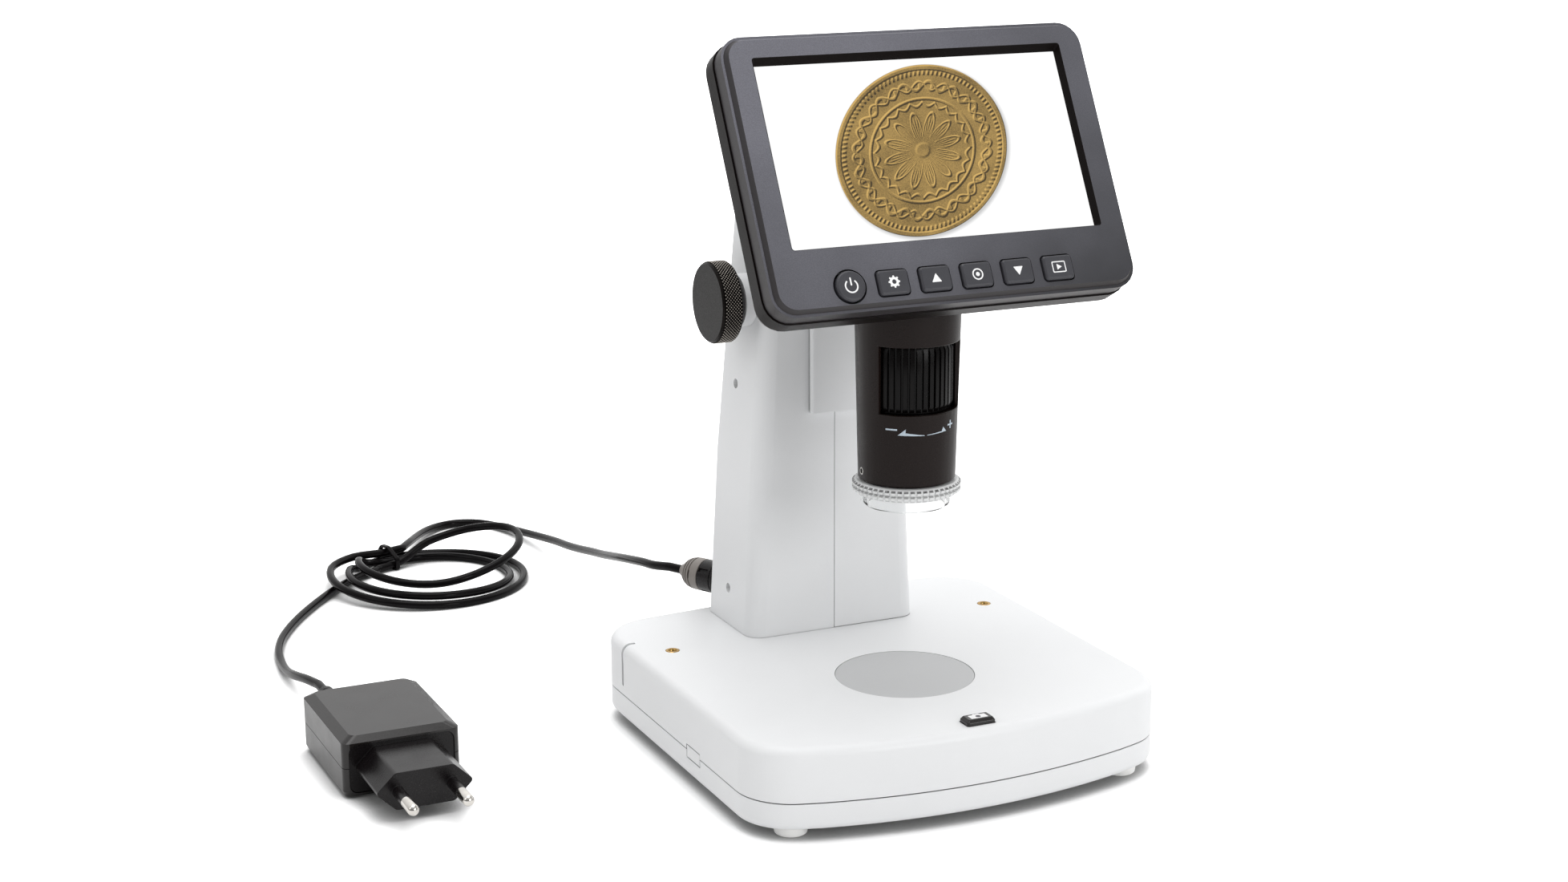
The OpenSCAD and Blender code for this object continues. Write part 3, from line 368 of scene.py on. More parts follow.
def soften(piece, width, segments=2, limit=38, turn=32):
    """Small rounded edges and even shading."""
    smooth(piece, turn)
    bevel = piece.modifiers.new("edges", "BEVEL")
    bevel.width = width * MM
    bevel.segments = segments
    bevel.limit_method = "ANGLE"
    bevel.angle_limit = radians(limit)
    bevel.use_clamp_overlap = True
    bevel.miter_outer = "MITER_ARC"
    shading = piece.modifiers.new("shading", "WEIGHTED_NORMAL")
    shading.keep_sharp = True
    shading.weight = 60
    return bake(piece)


def cut(piece, cutters):
    """Takes the joined cutters, in millimetres, out of a piece."""
    tool = add_piece("cutter", joined(cutters))
    work = piece.modifiers.new("cut", "BOOLEAN")
    work.operation = "DIFFERENCE"
    work.solver = "EXACT"
    work.use_self = True
    work.object = tool
    bake(piece)
    mesh = tool.data
    bpy.data.objects.remove(tool)
    bpy.data.meshes.remove(mesh)
    return piece


def copy_of(node):
    """A merged copy of a CAD node, ready for finer edges."""
    shape = bmesh.new()
    shape.from_mesh(CAD[node].data)
    bmesh.ops.remove_doubles(shape, verts=shape.verts, dist=2e-6)
    bmesh.ops.dissolve_limit(shape, angle_limit=radians(0.6), verts=shape.verts, edges=shape.edges)
    return new_object(node + "_skin", mesh_of(shape))


def finish_piece(piece, finish, body, slot, *nodes):
    """Gives a piece its finish, its body and the CAD nodes that it stands for; the slot is not used."""
    piece.data.materials.clear()
    piece.data.materials.append(MATERIALS[finish])
    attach(piece, body)
    if nodes:
        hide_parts(*nodes)
    return piece


def stand_for(piece, finish, node):
    """The piece takes a CAD node's place and body."""
    return finish_piece(piece, finish, CAD[node]["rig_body"], SLOT_OF[node], node)


def skin(node, finish, width, segments=2, limit=38, turn=32):
    """A CAD node's own shape with softened edges."""
    return stand_for(soften(copy_of(node), width, segments, limit, turn), finish, node)


# ---------- node trees ----------


class Value:
    """A socket of a node tree to reckon with: each operator adds its node."""

    def __init__(self, tree, socket):
        self.tree = tree
        self.socket = socket

    def maths(self, operation, *others):
        return value_of(self.tree, "ShaderNodeMath", dict(enumerate((self, *others))), operation=operation)

    def __add__(self, other):
        return self.maths("ADD", other)

    def __sub__(self, other):
        return self.maths("SUBTRACT", other)

    def __mul__(self, other):
        return self.maths("MULTIPLY", other)

    def __truediv__(self, other):
        return self.maths("DIVIDE", other)

    def __pow__(self, other):
        return self.maths("POWER", other)

    def __abs__(self):
        return self.maths("ABSOLUTE")


def put(value, socket):
    """Links a Value to a node's input, or sets the input to a plain value."""
    if isinstance(value, Value):
        value.tree.links.new(value.socket, socket)
    else:
        socket.default_value = value


def feed(node, **values):
    """Links or sets a node's inputs, named with _ for a space."""
    for key, value in values.items():
        put(value, node.inputs[key.replace("_", " ")])


def add_node(tree, kind, inputs=None, **settings):
    """A node with its settings and its inputs."""
    made = tree.nodes.new(kind)
    for key, value in settings.items():
        setattr(made, key, value)
    for key, value in (inputs or {}).items():
        put(value, made.inputs[key])
    return made


def value_of(tree, kind, inputs=None, output=0, **settings):
    """One output of a new node."""
    return Value(tree, add_node(tree, kind, inputs, **settings).outputs[output])


def vector_maths(operation, first, *others, output=0):
    return value_of(first.tree, "ShaderNodeVectorMath", dict(enumerate((first, *others))), output,
                    operation=operation)


def axes(vector):
    """The three coordinates of a vector."""
    parts = add_node(vector.tree, "ShaderNodeSeparateXYZ", {0: vector})
    return [Value(vector.tree, part) for part in parts.outputs]


def distance(place):
    """Distance of a point from the origin."""
    return vector_maths("LENGTH", place, output="Value")


def along(vector, axis):
    """Share of a vector along an axis."""
    return vector_maths("DOT_PRODUCT", vector, tuple(axis), output="Value")


def highest(values):
    top, *others = values
    for value in others:
        top = top.maths("MAXIMUM", value)
    return top


def spread(value, low, high, start=0.0, end=1.0):
    """Carries the range from start to end over to the range from low to high."""
    return value_of(value.tree, "ShaderNodeMapRange", {0: value, 1: start, 2: end, 3: low, 4: high})


def vary(pattern, low, high):
    """Carries the usual range of a noise over to the range from low to high."""
    return spread(pattern, low, high, 0.3, 0.7)


def opaque(colour_or_value):
    return colour_or_value if isinstance(colour_or_value, Value) else (*colour_or_value, 1)


def blend(share, first, second):
    """Colour between two colours."""
    return value_of(share.tree, "ShaderNodeMix", {0: share, 6: opaque(first), 7: opaque(second)}, 2,
                    data_type="RGBA")


def grey(value):
    return value_of(value.tree, "ShaderNodeCombineColor", {0: value, 1: value, 2: value})


def nearness(tree, reach):
    """1 in the open and towards 0 where other surfaces are nearer than the reach, in millimetres."""
    return value_of(tree, "ShaderNodeAmbientOcclusion", {"Distance": reach * MM}, "AO", samples=6)


def noise(place, size, detail=2.0, roughness=0.5):
    """Noise whose cells are about size millimetres wide."""
    return value_of(place.tree, "ShaderNodeTexNoise", {"Vector": place, "Scale": 1 / (size * MM),
                                                       "Detail": detail, "Roughness": roughness})


def bump(height, depth):
    """Surface relief with a depth in millimetres."""
    return value_of(height.tree, "ShaderNodeBump", {"Height": height, "Distance": depth * MM})


def new_material(name, **constants):
    """Material, its shader and the object coordinates."""
    material = bpy.data.materials.new(name)
    material.use_nodes = True
    tree = material.node_tree
    shader = tree.nodes["Principled BSDF"]
    feed(shader, **constants)
    return material, shader, value_of(tree, "ShaderNodeTexCoord", output="Object")


def shade(rgb, factor):
    return tuple(min(1, part * factor) for part in rgb)


# Width of gap, in millimetres, that still gets painted shade
GAP_REACH = 1.6


def moulded(name, rgb, roughness, grain=0.35, depth=0.02, mottle=0.05, patch=14.0, gap_shade=0.0, sheen=0.5):
    """Moulded plastic: a fine grain, faint patches of tone and gloss, and painted shade in narrow gaps."""
    material, shader, place = new_material(name, Specular_IOR_Level=sheen)
    fine = noise(place, grain, 3)
    broad = noise(place, patch, 4, 0.55)
    tint = blend(vary(broad, 0, 1), shade(rgb, 1 - mottle), shade(rgb, 1 + mottle))
    tint = blend(spread(fine, 0, 1, 0.25, 0.75) * 0.5, tint, shade(rgb, 1 - mottle * 1.4))
    # painted shade: the tint darkens towards black where other surfaces are near, in narrow gaps and grooves
    if gap_shade:
        shadow = spread(nearness(place.tree, GAP_REACH), gap_shade, 0, 0.15, 0.6)
        tint = blend(shadow, tint, shade(rgb, 0.05))
    gloss = vary(broad, roughness - 0.04, roughness + 0.04) + vary(fine, -0.03, 0.03)
    feed(shader, Base_Color=tint, Roughness=gloss, Normal=bump(fine, depth))
    return material


def metal(name, rgb, roughness, brush=0.6, stretch=(1, 1, 1)):
    """Machined metal with fine turning or brushing marks."""
    material, shader, place = new_material(name, Metallic=1.0)
    marks = noise(vector_maths("MULTIPLY", place, stretch), brush, 4, 0.6)
    stain = vary(noise(place, 5, 3), 0, 1)
    feed(shader, Base_Color=blend(stain, shade(rgb, 0.88), shade(rgb, 1.06)),
         Roughness=vary(marks, roughness * 0.7, roughness * 1.35), Normal=bump(marks, 0.006))
    return material


def display_plastic(name, rgb):
    """Fine-grained plastic with painted light, paler towards the display's upper left corner, and painted
    shade on the faces and bevels turned left or down.
    """
    material, shader, place = new_material(name, Specular_IOR_Level=0.4)
    fine = noise(place, 0.28, 3)
    x, _, z = axes(place)
    # painted light: the colour grows paler towards the top and the left of the display
    pale = spread(z, 0, 0.6, 0.165, 0.235) + spread(x, 0.45, 0, -0.02, 0.05)
    pale = pale + vary(noise(place, 30, 3), -0.1, 0.1)
    normal = value_of(place.tree, "ShaderNodeTexCoord", output="Normal")
    across, upwards = (along(normal, axis) for axis in DISPLAY.to_3x3().col[:2])
    # painted shade: faces turned to the left or downwards take a dark brown-black tone
    painted_bevel_shade = spread(across.maths("MINIMUM", upwards), 0.9, 0, -0.3, -0.08)
    tint = blend(painted_bevel_shade, blend(pale, shade(rgb, 0.5), shade(rgb, 3.5)), tone("1d1614"))
    feed(shader, Base_Color=blend(vary(fine, 0, 0.4), tint, shade(rgb, 0.7)),
         Roughness=vary(fine, 0.34, 0.42), Normal=bump(fine, 0.008))
    return material


def knob_metal(name, rgb):
    """Black anodised metal whose knurl tips on the rim get a painted highlight."""
    material, shader, place = new_material(name, Metallic=0.85)
    from_shaft = vector_maths("SUBTRACT", place, (0, SHAFT.y * MM, SHAFT.z * MM))
    radius = distance(vector_maths("MULTIPLY", from_shaft, (0, 1, 1)))
    out = abs(axes(place)[0])
    rim_start = spread(out, 0, 1, RIM_IN * MM, (RIM_IN + RIM_FADE) * MM)
    rim_end = spread(out, 1, 0, (RIM_OUT - RIM_FADE) * MM, RIM_OUT * MM)
    # painted highlight: the outermost tips of the knurl are painted near white
    tip_highlight = spread(radius, 0, 1, TIP_LOW * MM, TIP_HIGH * MM) * (rim_end * rim_start)
    plain = blend(vary(noise(place, 5, 3), 0, 1), shade(rgb, 0.85), shade(rgb, 1.15))
    feed(shader, Base_Color=blend(tip_highlight, plain, tone("e6ded4")),
         Roughness=vary(noise(place, 0.4, 3), 0.34, 0.46))
    return material


def rubber(name, rgb, roughness):
    """Soft rubber with faint dust."""
    material, shader, place = new_material(name)
    dust = noise(place, 9, 4)
    feed(shader, Base_Color=blend(spread(dust, 0, 0.5, 0.45, 0.75), rgb, shade(rgb, 1.5)),
         Roughness=spread(dust, roughness - 0.05, roughness + 0.07, 0.35, 0.65),
         Normal=bump(noise(place, 0.5, 3), 0.03))
    return material


def flange_plastic(name, rgb, teeth):
    """Milky plastic with a painted dark dash along each tooth's upper edge, standing in for the black tube
    seen through the tooth.
    """
    material, shader, place = new_material(name, Transmission_Weight=0.2, IOR=1.45, Roughness=0.2)
    x, y, z = axes(place)
    turn = (y - AXIS_Y * MM).maths("ARCTAN2", x)
    tooth = spread((turn * teeth).maths("COSINE"), 0, 1, -0.75, -0.35)
    # painted refraction: three rows of dark dashes stand in for the black tube seen through the teeth
    refraction_dashes = highest(spread(abs(z - height * MM), strength, 0, 0.22 * MM, 0.4 * MM)
                     for height, strength in ((101.95, 0.85), (100.15, 0.45), (98.6, 0.3)))
    dark = refraction_dashes * tooth * spread(noise(place, 1.5, 2), 0.7, 1, 0.35, 0.65)
    feed(shader, Base_Color=blend(dark, rgb, tone("2c2a2a")))
    return material


def clear_plastic(name, rgb, roughness, bend):
    """Clear moulded plastic with faint flow marks."""
    material, shader, place = new_material(name, Transmission_Weight=1.0, IOR=bend)
    flow = noise(place, 4, 2)
    feed(shader, Base_Color=blend(spread(flow, 0, 1, 0.35, 0.65), shade(rgb, 0.985), rgb),
         Roughness=spread(flow, roughness * 0.6, roughness * 1.5, 0.35, 0.65), Normal=bump(flow, 0.01))
    return material


def circuit_board(name):
    """Green solder mask with a lattice of copper tracks and pads."""
    material, shader, place = new_material(name, Roughness=0.35)
    lattice = add_node(place.tree, "ShaderNodeTexBrick", {
        "Vector": place, "Scale": 1 / (3 * MM), "Mortar Size": 0.04, "Color1": opaque(tone("1d5b34")),
        "Color2": opaque(tone("17502d")), "Mortar": opaque(tone("3f8a52"))})
    mask, tracks = (Value(place.tree, output) for output in lattice.outputs)
    pads = value_of(place.tree, "ShaderNodeTexVoronoi", {"Vector": place, "Scale": 1 / (4 * MM)}, "Distance")
    feed(shader, Base_Color=blend(spread(pads, 1, 0, 0.1, 0.14), mask, tone("c9b27a")),
         Normal=bump(tracks, 0.02))
    return material


def picture_field(name, gold):
    """Lit picture: a white field with a gold disc of rings, beads, waves and a rosette in relief."""
    material, shader, place = new_material(name, Base_Color=(0, 0, 0, 1), Roughness=0.16,
                                           Emission_Strength=1.0)
    place = value_of(place.tree, "ShaderNodeUVMap", uv_map="picture")

    def band(value, middle, half, edge):
        return spread(abs(value - middle), 1, 0, half, half + edge)

    def relief(point):
        """Distance from the disc's middle and height of the relief at a point of the picture."""
        x, y, _ = axes(point)
        radius = (x * x + y * y) ** 0.5
        turn = y.maths("ARCTAN2", x)

        def wave(number, shift=0.0):
            return (turn * number + shift).maths("SINE")

        rim = band(radius, 0.965, 0.02, 0.012)
        beads = band(radius, 0.905, 0.012, 0.02) * spread(wave(110), 0, 1, -0.3, 0.5)
        vine = band(radius + wave(16) * 0.05, 0.75, 0.012, 0.014)
        counter = band(radius - wave(16, 0.8) * 0.05, 0.75, 0.006, 0.014)
        buds = band(radius, 0.75, 0.022, 0.02) * spread(wave(32, 0.5), 0, 1, 0.55, 0.85)
        inner = band(radius, 0.6, 0.008, 0.012)
        scallop = band(radius + abs(wave(12)) * 0.05, 0.56, 0.008, 0.012)
        petal_edge = abs(wave(6)) * 0.28 + 0.16
        petal = band(radius - petal_edge, 0.0, 0.009, 0.014)
        vein = spread(petal_edge - radius, 0, 0.5, 0.0, 0.09) * spread(wave(72), 0, 1, -0.4, 0.8)
        boss = spread(radius, 1, 0, 0.07, 0.1)
        return radius, highest((rim, beads, vine, counter, buds, inner, scallop, petal, vein, boss))

    small = vector_maths("MULTIPLY", place, (MM, MM, MM))
    grain = vary(noise(small, 0.016, 4, 0.7), -0.16, 0.16)
    cloud = vary(noise(small, 0.5, 4, 0.6), 0.28, 0.58)
    radius, height = relief(place)
    _, height_lit = relief(vector_maths("ADD", place, (-0.013, 0.013, 0)))
    body = add_node(place.tree, "ShaderNodeValToRGB", {0: (height - height_lit) * 0.6 + (grain + cloud)})
    ramp = body.color_ramp
    ramp.elements[0].position, ramp.elements[0].color = 0.1, opaque(shade(gold, 0.16))
    ramp.elements[1].position, ramp.elements[1].color = 0.95, opaque(shade(gold, 1.9))
    ramp.elements.new(0.48).color = opaque(gold)
    disc = spread(radius, 1, 0, 0.992, 1.0)
    shadow = spread(distance(vector_maths("ADD", place, (-0.022, 0.022, 0))), 0.55, 0, 0.985, 1.03)
    field = blend(shadow, (1, 1, 1), tone("8f8f90"))
    feed(shader, Emission_Color=blend(disc, field, Value(place.tree, body.outputs[0])))
    return material


def make_materials(colours):
    """Every finish of the object, made once."""
    white, black, tube, jacket, relief, brass, steel, disc, print_tone, gold = (
        tuple(getattr(colours, key)) for key in MicroscopeColours.__annotations__)
    teeth = colours.id_data.microscope_tube.cap_teeth
    MATERIALS.update(
        # the white and relief finishes get painted shade in their narrow gaps
        white=moulded("white_moulding", white, 0.38, 0.4, 0.008, 0.012, 22, 0.72, 0.42),
        bezel=display_plastic("display_moulding", black),
        back=moulded("housing_moulding", tone("120e0d"), 0.34, 0.3, 0.012, 0.05, 12, sheen=0.13),
        tube=moulded("tube_moulding", tube, 0.29, 0.25, 0.006, 0.06, 10, sheen=0.16),
        key=moulded("key_moulding", tone("3b3b40"), 0.38, 0.22, 0.008, 0.05, 6, sheen=0.4),
        adapter=moulded("adapter_moulding", tone("151110"), 0.22, 0.3, 0.008, 0.05, 9),
        nose=moulded("nose_moulding", tone("120f10"), 0.26, 0.3, 0.008, 0.05, 9, sheen=0.3),
        knob=knob_metal("knob_anodised", tone("120e0c")),
        wheel=moulded("wheel_grip", tone("080606"), 0.26, 0.3, 0.004, sheen=0.14),
        lip=moulded("lip_moulding", tone("100c0b"), 0.5, 0.3, 0.004, sheen=0.06),
        cord=moulded("cord_jacket", jacket, 0.16, 0.35, 0.002, sheen=0.1),
        relief=moulded("relief_rubber", relief, 0.42, 0.35, 0.01, 0.05, 14, 0.9),
        foot=rubber("foot_rubber", tone("f6f6f4"), 0.5),
        brass=metal("turned_brass", brass, 0.28),
        steel=metal("bright_steel", steel, 0.24),
        nickel=metal("polished_pin", tone("e4e0da"), 0.14),
        dark_metal=metal("blackened_steel", tone("4a4846"), 0.34),
        plate=metal("ballast_steel", tone("8b8985"), 0.45, 1.2, (1, 6, 1)),
        frosted=moulded("frosted_disc", disc, 0.5, 0.5, 0.01, 0.015, 8, sheen=0.35),
        clear=clear_plastic("clear_cap", tone("fcfdfd"), 0.04, 1.42),
        flange=flange_plastic("milky_flange", tone("f4f5f5"), teeth),
        lens=clear_plastic("coated_lens", tone("d9e2f5"), 0.01, 1.5),
        glass=moulded("panel_glass", tone("1b1c1f"), 0.12, 0.6, 0.001, 0.02, 20),
        ink=moulded("white_print", tone("f2f2f2"), 0.5, 0.2, 0.001, 0.02, 5),
        tube_ink=moulded("blue_grey_print", print_tone, 0.5, 0.2, 0.001, 0.03, 5),
        led=moulded("led_lens", tone("f4efd8"), 0.25, 0.4, 0.001, 0.03, 3),
        board=circuit_board("green_board"),
        picture=picture_field("lit_picture", gold),
    )


# ---------- repeated teeth, by Geometry Nodes ----------


def ring_tree():
    """Rows of teeth round the vertical axis, joined to the ring that carries them."""
    tree = bpy.data.node_groups.new("ring_of_teeth", "GeometryNodeTree")
    kinds = {"Geometry": ("Ring",), "Int": ("Teeth", "Rows"),
             "Float": ("Row Pitch", "Stagger", "Radius", "First Height", "Height", "Along", "Around",
                       "Top Share", "Corner Turn"),
             "Material": ("Finish",)}
    for kind, names in kinds.items():
        for name in names:
            tree.interface.new_socket(name=name, in_out="INPUT", socket_type="NodeSocket" + kind)
    tree.interface.new_socket(name="Geometry", in_out="OUTPUT", socket_type="NodeSocketGeometry")
    given = {socket.name: Value(tree, socket) for socket in tree.nodes.new("NodeGroupInput").outputs}

    def vector(x=0.0, y=0.0, z=0.0):
        return value_of(tree, "ShaderNodeCombineXYZ", {0: x, 1: y, 2: z})

    index = value_of(tree, "GeometryNodeInputIndex")
    row = ((index + 0.5) / given["Teeth"]).maths("FLOOR")
    shifted = index.maths("MODULO", given["Teeth"]) + given["Stagger"] * row
    turn = shifted * (2 * pi) / given["Teeth"]
    spot = vector(turn.maths("COSINE") * given["Radius"], turn.maths("SINE") * given["Radius"],
                  given["First Height"] + given["Row Pitch"] * row)
    points = value_of(tree, "GeometryNodePoints", {"Count": given["Teeth"] * given["Rows"], "Position": spot})
    tooth = value_of(tree, "GeometryNodeMeshCone", {"Vertices": 4, "Radius Top": given["Top Share"],
                                                    "Radius Bottom": 1.0, "Depth": 1.0})
    size = vector(given["Along"], given["Around"], given["Height"])
    for key, value in (("Rotation", vector(z=given["Corner Turn"])), ("Scale", size),
                       ("Rotation", (0, pi / 2, 0))):
        tooth = value_of(tree, "GeometryNodeTransform", {"Geometry": tooth, key: value})
    teeth = value_of(tree, "GeometryNodeInstanceOnPoints", {"Points": points, "Instance": tooth,
                                                            "Rotation": vector(z=turn)})
    both = tree.nodes.new("GeometryNodeJoinGeometry")
    put(teeth, both.inputs[0])
    put(given["Ring"], both.inputs[0])
    real = value_of(tree, "GeometryNodeRealizeInstances", {0: Value(tree, both.outputs[0])})
    done = value_of(tree, "GeometryNodeSetMaterial", {"Geometry": real, "Material": given["Finish"]})
    put(done, tree.nodes.new("NodeGroupOutput").inputs[0])
    return tree


def with_teeth(name, mesh, finish, place, **sizes):
    """Adds rows of teeth to a ring; sizes are in millimetres."""
    tree = bpy.data.node_groups.get("ring_of_teeth") or ring_tree()
    piece = new_object(name, mesh)
    work = piece.modifiers.new("teeth", "NODES")
    work.node_group = tree
    keys = {item.name: item.identifier for item in tree.interface.items_tree if item.in_out == "INPUT"}
    for key, value in sizes.items():
        work[keys[key.replace("_", " ")]] = value
    work[keys["Finish"]] = MATERIALS[finish]
    bake(piece)
    piece.data.transform(Matrix.Scale(MM, 4) @ place)
    return smooth(piece, 28)


# ---------- stage ----------

# Height in millimetres up to which the floor below the object gets painted contact shade
CONTACT_REACH = 12


class MICROSCOPE_OT_stage(Operator):
    """Camera, pale floor and soft studio light"""
    bl_idname = "microscope.stage"
    bl_label = "Stage"

    camera_point = Vector((-0.3886, -0.7657, 0.3294))

    def execute(self, context):
        stage = context.scene.microscope_stage
        self.add_camera(context, stage)
        self.add_floor(stage)
        self.add_room(context, stage)
        self.add_lamps()
        context.scene.view_settings.view_transform = "Standard"
        return {"FINISHED"}

    def add_camera(self, context, stage):
        lens = bpy.data.cameras.new("camera")
        lens.lens = stage.focal_length
        lens.sensor_width = 36
        lens.clip_end = 20
        camera = new_object("camera", lens)
        around = Matrix.Rotation(stage.camera_turn, 4, "Z")
        upwards = Matrix.Rotation(pi / 2 - stage.camera_height, 4, "X")
        roll = Matrix.Rotation(stage.camera_roll, 4, "Z")
        camera.matrix_world = to(*self.camera_point) @ around @ upwards @ roll
        context.scene.camera = camera

    def add_floor(self, stage):
        """Pale floor with painted contact shade, seen only by the camera, where the object is near it, and
        white far away.
        """
        shape = bmesh.new()
        bmesh.ops.create_grid(shape, x_segments=1, y_segments=1, size=6)
        floor = new_object("floor", mesh_of(shape))
        material, shader, place = new_material("pale_floor", Roughness=0.9, Specular_IOR_Level=0.1,
                                               Emission_Strength=1.0)
        rgb = tuple(stage.floor_tone)
        to_camera = value_of(place.tree, "ShaderNodeLightPath", output="Is Camera Ray")
        plain = blend(spread(noise(place, 300, 2), 0, 1), rgb, shade(rgb, 0.99))
        # painted shade: for the camera the floor darkens where the object is near, and elsewhere is lifted to
        # white
        painted_contact_shade = spread(nearness(place.tree, CONTACT_REACH), 0.32, 1.6, 0.28, 0.78)
        gain = (painted_contact_shade - 1.0) * to_camera + 1.0
        far = spread(distance(place), 0.02, 1, 0.4, 0.9)
        feed(shader, Base_Color=vector_maths("MULTIPLY", plain, grey(gain)),
             Emission_Color=blend(to_camera * far, (0, 0, 0), (1, 1, 1)))
        floor.data.materials.append(material)

    def add_room(self, context, stage):
        """A pale room: bright above, behind and on the right, dim in front, and white to the camera."""
        world = bpy.data.worlds.new("room")
        context.scene.world = world
        world.use_nodes = True
        tree = world.node_tree
        x, y, z = axes(value_of(tree, "ShaderNodeTexCoord", output="Generated"))
        light = spread(z, 0, 1, -0.05, 0.8) * 0.55 + spread(y, 0, 1, -0.5, 0.7) * 0.7 + 0.12
        level = light * spread(x, 0.7, 1.15, -0.7, 0.7) * stage.room_light
        rays = tree.nodes.new("ShaderNodeLightPath").outputs
        seen = highest(Value(tree, rays[kind]) for kind in ("Is Camera Ray", "Is Transmission Ray"))
        feed(tree.nodes["Background"], Color=blend(seen, grey(level), (1, 1, 1)), Strength=1.0)

    def add_lamps(self):
        """Soft boxes: place, size, power and the point that each faces."""
        boxes = {
            "overhead": ((-0.05, 0.05, 1.5), (1.4, 1.0), 10.2, (0, 0, 0)),
            "right_box": ((1.3, 0.25, 0.75), (0.7, 1.1), 1.7, (0, 0, 0.15)),
            "left_box": ((-1.25, -0.1, 0.8), (0.7, 0.9), 1.7, (0, 0, 0.12)),
            "front_box": ((0.45, -1.4, 0.55), (0.8, 0.6), 6.7, (0, 0, 0.12)),
        }
        for name, (place, size, power, aim) in boxes.items():
            lamp = bpy.data.lights.new(name, "AREA")
            lamp.shape = "RECTANGLE"
            lamp.size, lamp.size_y = size
            lamp.energy = power
            holder = new_object(name, lamp)
            holder.location = place
            holder.rotation_euler = (Vector(aim) - Vector(place)).to_track_quat("-Z", "Y").to_euler()


# ---------- power cord ----------

CORD_D = 3.4
COIL_CENTRE = Vector((-88, 251))
COIL_ANGLES = (110, 136, 160, 265, 365, 430)
COIL_LOOPS = (
    ((32, 6.4), (38, 7), (42, 6.5), (39.5, 1.8), (40, 1.8), (36, 2)),
    ((34.2, 2.6), (33.8, 2.8), (34, 6), (37, 5), (33, 1.8), (31.2, 2)),
    ((30.2, 2.6), (30.4, 5.4), (30, 10), (26, 7), (40, 17), (28.5, 10.5)),
)
COIL_END = (25.6, 2.3)
COIL_RINGS = 60
LEAD_MIDDLE = (
    (-41.5, 108, 41), (-42, 118, 39.5), (-41.5, 130, 37), (-40, 145, 33.5), (-37.5, 163, 29),
    (-35, 181, 24.5), (-33, 199, 20.5), (-31.5, 217, 16.5), (-30.5, 235, 13), (-29.5, 253, 10),
    (-29.5, 270, 7.2), (-30.5, 286, 4.8), (-32.5, 301, 2.9), (-36.5, 314, 1.9), (-43, 323, 1.8),
    (-52, 327, 1.8), (-61, 325, 2), (-69, 318, 2.8), (-75.5, 309, 3.8), (-81, 299.5, 5), (-85.5, 291.5, 6),
)
TAIL_MIDDLE = (
    (-108, 269, 2), (-114.5, 265.8, 1.8), (-121, 260.5, 1.8), (-128.5, 253, 1.8), (-136.5, 243.5, 1.8),
    (-144.5, 233, 1.8), (-152.5, 221.5, 1.8), (-160, 209, 1.8), (-166.5, 195.5, 1.8), (-171, 181, 1.8),
    (-173.2, 167, 2), (-174.5, 153, 3.6), (-174.8, 139, 6.5), (-174, 126, 9.2),
)
RELIEF_LENGTH = 19.5
BOOT_END = Vector((-172.5, 105, ADAPTER_SEAM))


def through(points, steps):
    """Smooth curve through points."""
    path = []
    for i in range(len(points) - 1):
        p0, p1 = points[max(i - 1, 0)], points[i]
        p2, p3 = points[i + 1], points[min(i + 2, len(points) - 1)]
        for k in range(steps):
            t = k / steps
            path.append((2 * p1 + (p2 - p0) * t + (2 * p0 - 5 * p1 + 4 * p2 - p3) * t * t
                         + (3 * p1 - p0 - 3 * p2 + p3) * t ** 3) / 2)
    return path + [points[-1]]


def coil_point(turn):
    """Point of the coil at an angle in degrees, on a smooth curve through its stations."""
    stations = [(bearing + 360 * k, *station) for k, loop in enumerate(COIL_LOOPS)
                for bearing, station in zip(COIL_ANGLES, loop)]
    stations.append((COIL_ANGLES[0] + 360 * len(COIL_LOOPS), *COIL_END))
    last = len(stations) - 1
    at = max(i for i in range(last) if stations[i][0] <= turn)

    def slope(i):
        if i in (0, last):
            return Vector((0, 0))
        before, after = stations[i - 1], stations[i + 1]
        return Vector((after[1] - before[1], after[2] - before[2])) / (after[0] - before[0])

    a, b = stations[at], stations[at + 1]
    span = b[0] - a[0]
    t = (turn - a[0]) / span
    here = (2 * t ** 3 - 3 * t * t + 1) * Vector(a[1:]) + (t ** 3 - 2 * t * t + t) * span * slope(at)
    there = (3 * t * t - 2 * t ** 3) * Vector(b[1:]) + (t ** 3 - t * t) * span * slope(at + 1)
    radius, height = here + there
    return (COIL_CENTRE + polar(radius, radians(turn))).to_3d() + Vector((0, 0, height))


